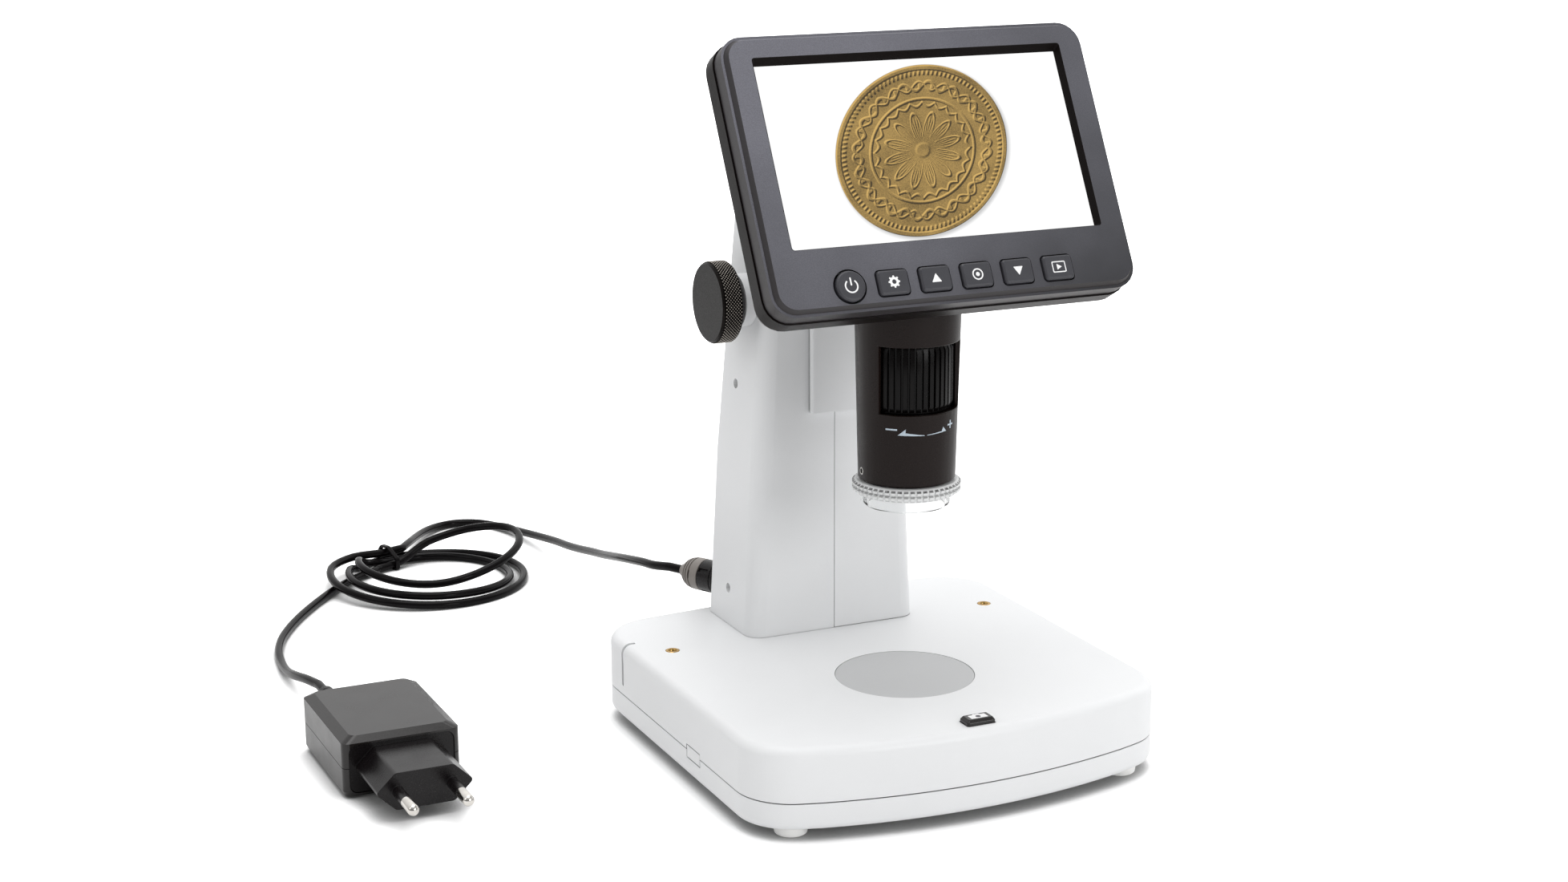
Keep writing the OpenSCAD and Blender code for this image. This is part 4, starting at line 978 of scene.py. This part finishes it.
def cord_route():
    """The cord's centre line from the plug to the adapter, in millimetres."""
    jack_way = Vector((-sin(radians(JACK_TURN)), cos(radians(JACK_TURN)), 0))
    relief_end = JACK_POINT + RELIEF_LENGTH * jack_way
    first_turn = COIL_ANGLES[0]
    last_turn = first_turn + 360 * len(COIL_LOOPS)
    way_in = (coil_point(first_turn + 1) - coil_point(first_turn)).normalized()
    way_out = (coil_point(last_turn) - coil_point(last_turn - 1)).normalized()
    coil_first = coil_point(first_turn) - CORD_D * way_in
    coil_last = coil_point(last_turn) + CORD_D * way_out
    lead = [relief_end, relief_end + CORD_D * jack_way]
    lead += through([relief_end + 2 * CORD_D * jack_way] + [Vector(p) for p in LEAD_MIDDLE]
                    + [coil_first - 1.6 * CORD_D * way_in], 4)
    lead += [coil_first - CORD_D * way_in, coil_first]
    turns = COIL_RINGS * len(COIL_LOOPS)
    coil = [coil_point(first_turn + (last_turn - first_turn) * i / turns) for i in range(turns + 1)]
    tail = [coil_last, coil_last + CORD_D * way_out]
    tail += through([coil_last + 1.6 * CORD_D * way_out] + [Vector(p) for p in TAIL_MIDDLE]
                    + [BOOT_END + Vector((0, 2.4 * CORD_D, 0))], 4)
    tail += [BOOT_END + Vector((0, CORD_D, 0)), BOOT_END]
    return lead + coil + tail


def swept_tube(path, radius, sides):
    """Closed tube along a path, with its frame carried smoothly from ring to ring."""
    shape = bmesh.new()
    rings = []
    side = Vector((0, 0, 1)).cross(path[1] - path[0]).normalized()
    for i, point in enumerate(path):
        way = (path[min(i + 1, len(path) - 1)] - path[max(i - 1, 0)]).normalized()
        side = (side - way * side.dot(way)).normalized()
        up = way.cross(side)
        rings.append([shape.verts.new(point + out.x * side + out.y * up) for out in circle(radius, sides)])
    return closed(shape, rings)


def set_on_jack(piece):
    """Moves a piece that was shaped upright at the origin to the plug's place."""
    piece.data.transform(Matrix.Scale(MM, 4) @ JACK @ Matrix.Scale(1 / MM, 4))
    return piece


class MICROSCOPE_OT_cord(Operator):
    """Power cord: one tube from the plug's strain relief through the tied coil to the adapter"""
    bl_idname = "microscope.cord"
    bl_label = "Power cord"

    def execute(self, context):
        sizes = context.scene.microscope_cord
        route = cord_route()
        run = sum((b - a).length for a, b in zip(route, route[1:])) * MM
        cord = add_piece("power_cord", swept_tube(route, sizes.diameter / MM / 2, sizes.sides))
        smooth(cord, 60)
        finish_piece(cord, "cord", "base", SLOT_OF["power_cord_lead"],
                     "power_cord_lead", "power_cord_coil", "power_cord_tail")
        plug = self.add_plug()
        relief = self.add_relief()
        tie = skin("cord_tie", "cord", 0.25)
        boot = skin("adapter_strain_relief", "nose", 0.15)
        route[0] * MM
        [point * MM for point in route]
        return {"FINISHED"}

    def add_plug(self):
        """Overmoulded plug with a grip slot on each side."""
        r = 6.1
        profile = [(0, 0.5), (r - 0.5, 0.5), (r, 1.1), (r, 8.1), (r - 0.25, 8.5), (0, 8.5)]
        plug = add_piece("dc_plug_body", lathe(profile, 72))
        slots = [moved(block(r - 1.2, r + 1, -0.7, 0.7, 3.6, 9), turned(90 * k + 35, "Z")) for k in range(4)]
        cut(plug, [ring_plate(circle(r + 1, 72), circle(r - 0.35, 72), 2.2, 2.7)] + slots)
        soften(set_on_jack(plug), 0.12)
        barrel = [(1.15, -8.5), (2.6, -8.5), (2.75, -8.3), (2.75, 0.6), (1.15, 0.6)]
        pin = add_piece("dc_plug_pin", lathe(barrel, 48), JACK)
        finish_piece(smooth(pin), "nickel", "base", SLOT_OF["dc_plug"])
        return stand_for(plug, "nose", "dc_plug")

    def add_relief(self):
        """Tapered strain relief with ring grooves and rows of flex slots."""
        profile = [(0, 8.6), (5.9, 8.6), (6.1, 8.8), (6.1, 12.0), (5.6, 12.2), (5.6, 12.6), (6.0, 12.8),
                   (5.95, 13.4), (5.45, 13.6), (5.4, 14.0), (5.75, 14.2), (5.6, 14.8), (5.05, 15.0),
                   (4.95, 15.4), (5.2, 15.6), (4.9, 16.1), (4.3, 16.35), (4.3, 16.7), (4.2, 16.95),
                   (3.6, 17.6), (2.95, 18.25), (2.55, 18.6), (2.3, RELIEF_LENGTH), (0, RELIEF_LENGTH)]
        relief = add_piece("plug_relief", lathe(profile, 72))
        slots = []
        for z, radius, shift in ((12.2, 5.6, 0), (15.0, 5.0, 45)):
            for k in range(4):
                slot = block(radius - 1.1, radius + 1, -1.5, 1.5, z, z + 0.45)
                slots.append(moved(slot, turned(90 * k + shift + 10, "Z")))
        cut(relief, slots)
        soften(set_on_jack(relief), 0.06, 1)
        return stand_for(relief, "relief", "plug_strain_relief")


# ---------- base ----------

BASE_CORNER = 20
FRONT_BOW, REAR_BOW = 13.7, 5
FEET = [(x, y) for x in (-62.5, 62.5) for y in (-61.5, 60)]
BOSSES = [(x, y) for x in (-46, 46) for y in (-62, 68)]
INSERTS = [to(x, 36.5) for x in (-63.3, 63.3)]
DISC_R = 24.2
KEY_Y = -73
FLAP_Y, FLAP_Z = (-21.4, -9.7), (10.2, 15.2)
SEAM_GAP = 0.4


class MICROSCOPE_OT_base(Operator):
    """Base: two shells, feet, stage disc, brass inserts, snapshot key, dimmer wheel and card flap"""
    bl_idname = "microscope.base"
    bl_label = "Base"

    def execute(self, context):
        sizes = context.scene.microscope_base
        self.half, self.front, self.rear = (v / MM for v in (sizes.width / 2, sizes.front, sizes.rear))
        self.top, self.seam, self.edge = (v / MM for v in (sizes.top, sizes.seam, sizes.edge))
        self.add_top_shell()
        self.add_bottom_shell()
        self.add_disc()
        self.add_inserts()
        self.add_snapshot_key()
        skin("feet", "foot", 0.2)
        skin("port_flap", "white", 0.2)
        self.add_dimmer_wheel()
        return {"FINISHED"}

    def outline(self, inset):
        """Straight sides, bowed front and rear edges and round corners."""
        def front_y(x):
            return -self.front + FRONT_BOW * (x / self.half) ** 2 + inset

        def rear_y(x):
            return self.rear - REAR_BOW * (x / self.half) ** 2 - inset

        side = self.half - inset
        bow = [x * 4 for x in range(-14, 15)]
        front, rear = front_y(self.half), rear_y(self.half)
        corners = [(-side, front)] + [(x, front_y(x)) for x in bow] + [(side, front)]
        corners += [(side, rear)] + [(-x, rear_y(x)) for x in bow] + [(-side, rear)]
        radius = BASE_CORNER - inset
        radii = [radius] + [0] * len(bow) + [radius, radius] + [0] * len(bow) + [radius]
        return rounded(corners, radii, 14)

    def add_top_shell(self):
        steps = 8
        levels = [(self.seam + SEAM_GAP / 2, self.outline(0)), (self.top - self.edge, self.outline(0))]
        for k in range(1, steps + 1):
            turn = pi / 2 * k / steps
            inset = self.edge * (1 - cos(turn))
            levels.append((self.top - self.edge * (1 - sin(turn)), self.outline(inset)))
        shell = add_piece("base_top", loft(levels))
        tools = [moved(prism(circle(DISC_R + 0.1, 128), self.top - 3, self.top + 1), to(0, DISC_Y)),
                 moved(prism(rectangle(-5.4, 5.4, -3.3, 3.3, 0.9), 22, self.top + 1), to(0, KEY_Y)),
                 block(-self.half - 1, -self.half + 5, 48.7, 50.3, 16.6, self.top + 1),
                 block(-self.half - 1, -self.half + 3.4, *FLAP_Y, *FLAP_Z)]
        tools += [moved(prism(circle(2.6), 24, self.top + 1), place) for place in INSERTS]
        cut(shell, tools)
        stand_for(soften(shell, 0.22, 2, 50, 40), "white", "base_top_shell")

    def add_bottom_shell(self):
        foot, edge = 3.7, 2.6
        steps = 6
        levels = []
        for k in range(steps + 1):
            turn = pi / 2 * k / steps
            levels.append((foot + edge * (1 - cos(turn)), self.outline(edge * (1 - sin(turn)))))
        levels.append((self.seam - SEAM_GAP / 2, self.outline(0)))
        shell = add_piece("base_bottom", loft(levels))
        tools = [block(-self.half - 1, -self.half + 3.4, *FLAP_Y, *FLAP_Z)]
        tools += [moved(prism(circle(6, 64), foot - 1, foot + 1.5), to(x, y)) for x, y in FEET]
        tools += [moved(prism(circle(3.2, 48), foot - 1, foot + 3), to(x, y)) for x, y in BOSSES]
        cut(shell, tools)
        stand_for(soften(shell, 0.22, 2, 50, 40), "white", "base_bottom_shell")

    def add_disc(self):
        profile = [(0, 29.02), (DISC_R, 29.02), (DISC_R, 31.7), (DISC_R - 0.2, 31.9), (0, 31.9)]
        disc = add_piece("stage_disc_frosted", lathe(profile, 128), to(0, DISC_Y))
        stand_for(smooth(disc, 30), "frosted", "stage_disc")

    def add_inserts(self):
        """Brass inserts with their thread's ridges."""
        ridges = [(1.25 + 0.22 * (k % 2), 31.4 - 0.25 * k) for k in range(28)]
        profile = [(2.5, 24.4), (2.5, 31.95), (2.3, 32.12), (1.65, 32.12), (1.4, 31.8), *ridges, (1.25, 24.2)]
        rings = [moved(lathe(profile, 48), place) for place in INSERTS]
        inserts = add_piece("brass_inserts", joined(rings))
        stand_for(smooth(inserts, 25), "brass", "threaded_inserts")

    def add_snapshot_key(self):
        key = soften(copy_of("snapshot_key"), 0.14)
        stand_for(key, "adapter", "snapshot_key")
        top = self.top + 2
        case = rounded([(-3.1, -1.7), (3.1, -1.7), (3.1, 1.3), (1.4, 1.3), (1.0, 1.85), (-1.0, 1.85),
                        (-1.4, 1.3), (-3.1, 1.3)], [0.2, 0.2, 0.2, 0, 0.15, 0.15, 0, 0.2], 3)
        picture = add_piece("snapshot_symbol", prism(case, top - 0.02, top + 0.03), to(0, KEY_Y))
        finish_piece(picture, "ink", "snapshot_button", SLOT_OF["snapshot_key"])
        lens = add_piece("snapshot_symbol_lens", prism(circle(0.9, 32, (0, -0.25)), top + 0.02, top + 0.06),
                         to(0, KEY_Y))
        finish_piece(lens, "key", "snapshot_button", SLOT_OF["snapshot_key"])

    def add_dimmer_wheel(self):
        ring = lathe([(1.56, -0.6), (6.9, -0.6), (6.9, 0.6), (1.56, 0.6)], 96)
        place = to(*middle_of("dimmer_wheel")) @ turned(-90, "X")
        wheel = with_teeth("dimmer_wheel_edge", ring, "key", place, Teeth=64, Rows=1, Row_Pitch=0.0,
                           Stagger=0.0, Radius=6.85, First_Height=0.0, Height=0.33, Along=0.8, Around=0.24,
                           Top_Share=0.4, Corner_Turn=pi / 4)
        stand_for(wheel, "key", "dimmer_wheel")


# ---------- column and focus drive ----------


class MICROSCOPE_OT_column(Operator):
    """Column: two shells, cover plate with its arm, and screws"""
    bl_idname = "microscope.column"
    bl_label = "Column"

    def execute(self, context):
        for node, width in (("column_left_shell", 0.25), ("column_right_shell", 0.25), ("carriage_arm", 0.3)):
            skin(node, "white", width, 2, 50, 25)
        skin("column_screws", "steel", 0.1)
        return {"FINISHED"}


class MICROSCOPE_OT_knobs(Operator):
    """Two focus knobs with a diamond knurl on the rim"""
    bl_idname = "microscope.knobs"
    bl_label = "Focus knobs"

    def execute(self, context):
        sizes = context.scene.microscope_knob
        for name, node, place in (("focus_knob_left", "knob_left", KNOB_LEFT),
                                  ("focus_knob_right", "knob_right", KNOB_RIGHT)):
            self.add_knob(name, node, place, sizes.diameter / MM / 2, sizes.diamonds, sizes.rows)
        return {"FINISHED"}

    def add_knob(self, name, node, place, r, diamonds, rows):
        depth = 0.42
        z0, z1 = 35.55, 42.25
        pitch = (z1 - z0) / (rows + 1)
        profile = [(0, 32.4), (7.9, 32.4), (8.2, 32.7), (8.2, 34.8), (8.4, 35), (r - 0.9, 35),
                   (r - 0.35, 35.5), (r - depth, 35.6), (r - depth, 42.2), (r - 0.35, 42.35), (r - 0.95, 43),
                   (0, 43)]
        knob = with_teeth(name, lathe(profile, 144), "knob", place, Teeth=diamonds, Rows=rows,
                          Row_Pitch=pitch, Stagger=0.5, Radius=r - depth, First_Height=z0 + pitch,
                          Height=depth, Along=pitch * 0.98, Around=pi * r / diamonds * 0.98, Top_Share=0.22,
                          Corner_Turn=0.0)
        stand_for(knob, "knob", node)


# ---------- display ----------

KEY_NAMES = ("power", "menu", "up", "select", "down", "mode")
KEY_FIRST_U, KEY_PITCH, KEY_V, KEY_TOP = -39.2, 15.05, -45, 4.2
INK = (-0.01, 0.03)


class MICROSCOPE_OT_display(Operator):
    """Display: frame, rear shell, lit picture and six keys with their symbols"""
    bl_idname = "microscope.display"
    bl_label = "Display"

    def execute(self, context):
        sizes = context.scene.microscope_display
        self.add_frame()
        skin("display_back", "back", 0.3, 2, 25, 20)
        self.add_picture(sizes.picture_width / MM, sizes.picture_height / MM)
        self.add_keys()
        return {"FINISHED"}

    def add_frame(self):
        """The display's frame with a clear shadow gap round each key."""
        wells = []
        for i, name in enumerate(KEY_NAMES):
            shape = circle(5.75, 64) if name == "power" else rectangle(-5.85, 5.85, -4.55, 4.55, 1.7)
            wells.append(moved(prism(shape, 0.5, 4), to(KEY_FIRST_U + KEY_PITCH * i, KEY_V)))
        shell = copy_of("display_frame")
        cut(shell, [moved(well, DISPLAY) for well in wells])
        stand_for(soften(shell, 0.28, 2, 25, 20), "bezel", "display_frame")

    def add_picture(self, width, height):
        """The lit picture; its map is centred on the gold disc, which is seen a little from the side."""
        middle, half_width, half_height, lean = (-1.65, -0.45), 31.5, 29.4, 0.208
        mesh = block(-width / 2 + 0.1, width / 2 - 0.1, -height / 2 + 0.1, height / 2 - 0.1, 0.155, 0.19)
        layer = mesh.uv_layers.new(name="picture")
        for loop in mesh.loops:
            u, v = mesh.vertices[loop.vertex_index].co[:2]
            high = (v - middle[1]) / half_height
            layer.data[loop.index].uv = ((u - middle[0]) / half_width - lean * high, high)
        picture = add_piece("lit_picture", mesh, DISPLAY)
        finish_piece(picture, "picture", "head", SLOT_OF["lcd_panel"])
        self.add_lip(width / 2, height / 2)

    def add_lip(self, half_u, half_v):
        """Black lip on the bevel round the picture."""
        inner = rectangle(-half_u - 0.02, half_u + 0.02, -half_v - 0.02, half_v + 0.02, 0.4)
        outer = rectangle(-56.38, 56.38, -31.78, 32.98, 1.0)
        outer_back, inner_back = [p * 0.996 for p in outer], [p * 0.998 for p in inner]
        levels = [(0.19, inner), (2.9, outer), (2.9, outer_back), (0.35, inner_back)]
        lip = add_piece("picture_lip", hoop(levels), DISPLAY)
        finish_piece(smooth(lip, 20), "lip", "head", SLOT_OF["display_frame"])

    def add_keys(self):
        symbols = {"power": self.power_symbol(), "menu": self.gear_symbol(), "up": self.arrow_symbol(1),
                   "select": self.ring_symbol(), "down": self.arrow_symbol(-1), "mode": self.frame_symbol()}
        for i, name in enumerate(KEY_NAMES):
            node = name + "_key"
            skin(node, "key", 0.22, 3, 25, 25)
            place = DISPLAY @ to(KEY_FIRST_U + KEY_PITCH * i, KEY_V, KEY_TOP)
            symbol = add_piece(name + "_symbol", joined(symbols[name]), place)
            finish_piece(symbol, "ink", CAD[node]["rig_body"], SLOT_OF[node])

    def power_symbol(self):
        gap, steps = 38, 40
        turns = [radians(90 + gap + (360 - 2 * gap) * k / steps) for k in range(steps + 1)]
        arc = [Vector((2.35 * cos(a), 2.35 * sin(a) - 0.15)) for a in turns]
        arc += [Vector((1.85 * cos(a), 1.85 * sin(a) - 0.15)) for a in reversed(turns)]
        bar = rectangle(-0.27, 0.27, 0.0, 2.7, 0.25, 4)
        return [prism(arc, *INK), prism(bar, *INK)]

    def gear_symbol(self):
        teeth, steps = 8, 96
        turns = [2 * pi * k / steps for k in range(steps)]
        outer = [polar(2.05 if cos(teeth * turn) > 0.1 else 1.6, turn) for turn in turns]
        return [ring_plate(outer, circle(0.75, steps), *INK)]

    def arrow_symbol(self, way):
        corners = [(-1.75, -1.35 * way), (1.75, -1.35 * way), (0, 1.6 * way)]
        if way < 0:
            corners.reverse()
        return [prism(rounded(corners, [0.12] * 3, 2), *INK)]

    def ring_symbol(self):
        return [ring_plate(circle(1.95, 64), circle(1.5, 64), *INK), prism(circle(0.7, 32), *INK)]

    def frame_symbol(self):
        outer = rectangle(-2.5, 2.5, -1.9, 1.9, 0.4, 4)
        inner = rectangle(-2.15, 2.15, -1.55, 1.55, 0.2, 4)
        play = [(-0.75, -1.0), (1.05, 0), (-0.75, 1.0)]
        return [ring_plate(outer, inner, *INK), prism(play, *INK)]


# ---------- head, tube and optics ----------


def tube_radius(z):
    """Radius of the conical tube at a height."""
    low, high = 16.55, 17.95
    bottom, top = 103.5, 160
    return low + (high - low) * max(0, min(1, (z - bottom) / (top - bottom)))


class MICROSCOPE_OT_tube(Operator):
    """Zoom tube with its print, ribbed wheel, clear cap and head housing"""
    bl_idname = "microscope.tube"
    bl_label = "Zoom tube"

    def execute(self, context):
        sizes = context.scene.microscope_tube
        skin("head_housing", "back", 0.3, 2, 40, 25)
        skin("lens_tube", "tube", 0.25, 2, 40, 25)
        self.add_print()
        self.add_set_screw()
        self.add_wheel(sizes.ribs)
        self.add_cap(sizes.cap_diameter / MM / 2, sizes.cap_teeth)
        return {"FINISHED"}

    def wrapped(self, outline, steps=8):
        """A flat outline of (angle in degrees from the front, height) laid on the tube's surface."""
        dense = []
        for a, b in zip(outline, outline[1:] + outline[:1]):
            for k in range(steps):
                dense.append((a[0] + (b[0] - a[0]) * k / steps, a[1] + (b[1] - a[1]) * k / steps))
        shape = bmesh.new()
        rings = []
        for lift in (-0.02, 0.035):
            rings.append([shape.verts.new((*polar(tube_radius(height) + lift, radians(turn - 90)), height))
                          for turn, height in dense])
        shape.faces.new(rings[0][::-1])
        shape.faces.new(rings[1])
        bridge(shape, rings)
        bmesh.ops.triangulate(shape, faces=shape.faces)
        return solid_of(shape)

    def add_print(self):
        """Minus and plus signs at the ends of two tapered arrows."""
        minus = [(-52, 122.95), (-38.5, 122.95), (-38.5, 123.5), (-52, 123.5)]
        left = [(-38, 121.35), (-7.2, 121.1), (-7.2, 121.3), (-29, 122.2), (-28.8, 123.5)]
        right = [(-4.1, 121.15), (22.5, 121.7), (17.5, 123.4), (15.5, 121.95), (-4.1, 121.35)]
        plus_bar = [(25, 123.3), (35, 123.3), (35, 123.85), (25, 123.85)]
        plus_stem = [(29, 122.2), (31, 122.2), (31, 125), (29, 125)]
        signs = [self.wrapped(shape) for shape in (minus, left, right, plus_bar, plus_stem)]
        piece = add_piece("tube_print", joined(signs), TUBE)
        finish_piece(piece, "tube_ink", "head", SLOT_OF["lens_tube"])

    def add_set_screw(self):
        """Small set screw low on the tube's left side: a bright rim round a black hexagon that is painted
        shade in the screw's hole.
        """
        height, turn = 106.5, 177
        place = TUBE @ turned(turn, "Z") @ to(tube_radius(height) - 0.02, 0, height) @ turned(90, "Y")
        rim = lathe([(0.9, -1.2), (0.9, 0.12), (1.1, 0.14), (1.3, 0.04), (1.3, -1.2)], 32)
        # painted shade: a solid black hexagon fills the screw's hole
        hole = lathe([(0, -1.2), (0.92, -1.2), (0.92, 0.08), (0, 0.08)], 6)
        for name, mesh, finish in (("tube_set_screw", rim, "steel"), ("set_screw_hole", hole, "lip")):
            finish_piece(add_piece(name, mesh, place), finish, "head", SLOT_OF["lens_tube"])

    def add_wheel(self, ribs):
        low, high = 127.8, 151.2
        profile = [(11.2, low), (14.55, low), (14.75, low + 0.2), (14.75, high - 0.2), (14.55, high),
                   (11.2, high)]
        half = (high - low) / 2 - 0.6
        wheel = with_teeth("zoom_wheel", lathe(profile, 144), "wheel", TUBE, Teeth=ribs, Rows=1,
                           Row_Pitch=0.0, Stagger=0.0, Radius=14.7, First_Height=(low + high) / 2,
                           Height=0.8, Along=half * sqrt(2), Around=0.86 * sqrt(2), Top_Share=0.82,
                           Corner_Turn=pi / 4)
        stand_for(wheel, "wheel", "focus_wheel")

    def add_cap(self, r, teeth):
        """Clear cap: a cup with two tabs under a milky flange with two rows of teeth."""
        cup = lathe([(13.2, 93.6), (13.7, 93.6), (14.2, 93.7), (14.7, 94.3), (14.72, 97.5), (15.3, 98.1),
                     (15.3, 102.6), (15.08, 102.7), (15.08, 98.5), (13.2, 98.5)], 168)
        tabs = [moved(block(14.4, 15.5, -1.2, 1.2, 94.6, 98.1), turned(turn, "Z")) for turn in (-28, 152)]
        cap = add_piece("clear_nose_cup", joined([cup] + tabs), TUBE)
        stand_for(smooth(cap, 28), "clear", "nose_cap")
        profile = [(15.34, 98.1), (r - 1.3, 98.2), (r - 0.75, 98.7), (r - 0.6, 99.0), (r - 0.6, 100.1),
                   (r - 1.0, 100.3), (r - 1.0, 100.6), (r - 0.6, 100.8), (r - 0.6, 101.9), (r - 0.9, 102.4),
                   (r - 1.4, 102.7), (15.34, 102.7)]
        flange = with_teeth("nose_cap_flange", lathe(profile, 168), "flange", TUBE, Teeth=teeth,
                            Rows=2, Row_Pitch=1.8, Stagger=0.0, Radius=r - 0.66, First_Height=99.55,
                            Height=0.6, Along=0.6 * sqrt(2), Around=0.8 * sqrt(2), Top_Share=0.8,
                            Corner_Turn=pi / 4)
        finish_piece(flange, "flange", "cap", SLOT_OF["nose_cap"])


# ---------- adapter ----------


class MICROSCOPE_OT_adapter(Operator):
    """Plug-in supply: two shells, plug nose with sleeves and mains pins"""
    bl_idname = "microscope.adapter"
    bl_label = "Adapter"

    def execute(self, context):
        skin("adapter_top", "adapter", 0.35, 3, 25, 20)
        skin("adapter_bottom", "adapter", 0.3, 2, 25, 20)
        skin("adapter_plug_block", "nose", 0.3, 2, 30, 20)
        self.add_pins()
        return {"FINISHED"}

    def add_pins(self):
        front = ADAPTER_Y - 26
        profile = [(0, -11.9), (1.2, -11.9), (1.2, 10.05), (2.0, 10.05), (2.0, 17.2), (1.9, 17.7),
                   (1.55, 18.3), (0.9, 18.8), (0, 19)]
        both = [moved(lathe(profile, 48), turned(90, "X"), to(ADAPTER_X + x, front, ADAPTER_SEAM))
                for x in (-9.3, 9.3)]
        pins = add_piece("mains_pins", joined(both))
        stand_for(smooth(pins, 30), "nickel", "adapter_pins")


# ---------- inside ----------

INNER_FINISH = {
    "steel": ("base_screws", "guide_rods", "focus_shaft", "card_socket", "column_foot_plate", "rod_clamp"),
    "plate": ("ballast_plate",),
    "board": ("base_board", "display_board", "sensor_board"),
    "led": ("stage_light", "ring_light"),
    "brass": ("shaft_bushes", "pinion", "rack"),
    "nose": ("dimmer_pot", "dc_jack"),
    "dark_metal": ("head_screws", "slider_block", "lens_barrel"),
    "lens": ("objective_lens",),
    "glass": ("lcd_panel",),
}


class MICROSCOPE_OT_inner_parts(Operator):
    """Finishes of the CAD parts that keep their own shape"""
    bl_idname = "microscope.inner_parts"
    bl_label = "Inner parts"

    def execute(self, context):
        for finish, nodes in INNER_FINISH.items():
            for node in nodes:
                part = CAD[node]
                if not part.material_slots:
                    part.data.materials.append(MATERIALS[finish])
                for slot in part.material_slots:
                    slot.material = MATERIALS[finish]
        return {"FINISHED"}


class MICROSCOPE_OT_finishes(Operator):
    """Materials of every finish"""
    bl_idname = "microscope.finishes"
    bl_label = "Finishes"

    def execute(self, context):
        make_materials(context.scene.microscope_colours)
        return {"FINISHED"}


class MICROSCOPE_PT_panel(Panel):
    """Sizes, colours and steps of the microscope"""
    bl_idname = "MICROSCOPE_PT_panel"
    bl_label = "Digital microscope"
    bl_space_type = "VIEW_3D"
    bl_region_type = "UI"
    bl_category = "Microscope"

    def draw(self, context):
        layout = self.layout
        for name, group in GROUPS.items():
            box = layout.box()
            box.label(text=name.replace("_", " ").capitalize())
            settings = getattr(context.scene, name)
            for key in group.__annotations__:
                box.prop(settings, key)
        for step in STEPS:
            layout.operator(step.bl_idname)


GROUPS = {
    "microscope_stage": MicroscopeStage,
    "microscope_base": MicroscopeBase,
    "microscope_knob": MicroscopeKnob,
    "microscope_tube": MicroscopeTube,
    "microscope_display": MicroscopeDisplay,
    "microscope_cord": MicroscopeCord,
    "microscope_colours": MicroscopeColours,
}
STEPS = (MICROSCOPE_OT_stage, MICROSCOPE_OT_finishes, MICROSCOPE_OT_cord, MICROSCOPE_OT_base,
         MICROSCOPE_OT_column, MICROSCOPE_OT_knobs, MICROSCOPE_OT_display, MICROSCOPE_OT_tube,
         MICROSCOPE_OT_adapter, MICROSCOPE_OT_inner_parts)
CLASSES = (*GROUPS.values(), *STEPS, MICROSCOPE_PT_panel)


def register():
    for item in CLASSES:
        bpy.utils.register_class(item)
    for name, group in GROUPS.items():
        setattr(bpy.types.Scene, name, PointerProperty(type=group))


def unregister():
    for name in GROUPS:
        delattr(bpy.types.Scene, name)
    for item in reversed(CLASSES):
        bpy.utils.unregister_class(item)


def main():
    register()
    for step in STEPS:
        family, name = step.bl_idname.split(".")
        getattr(getattr(bpy.ops, family), name)()


if __name__ == "__main__":
    main()
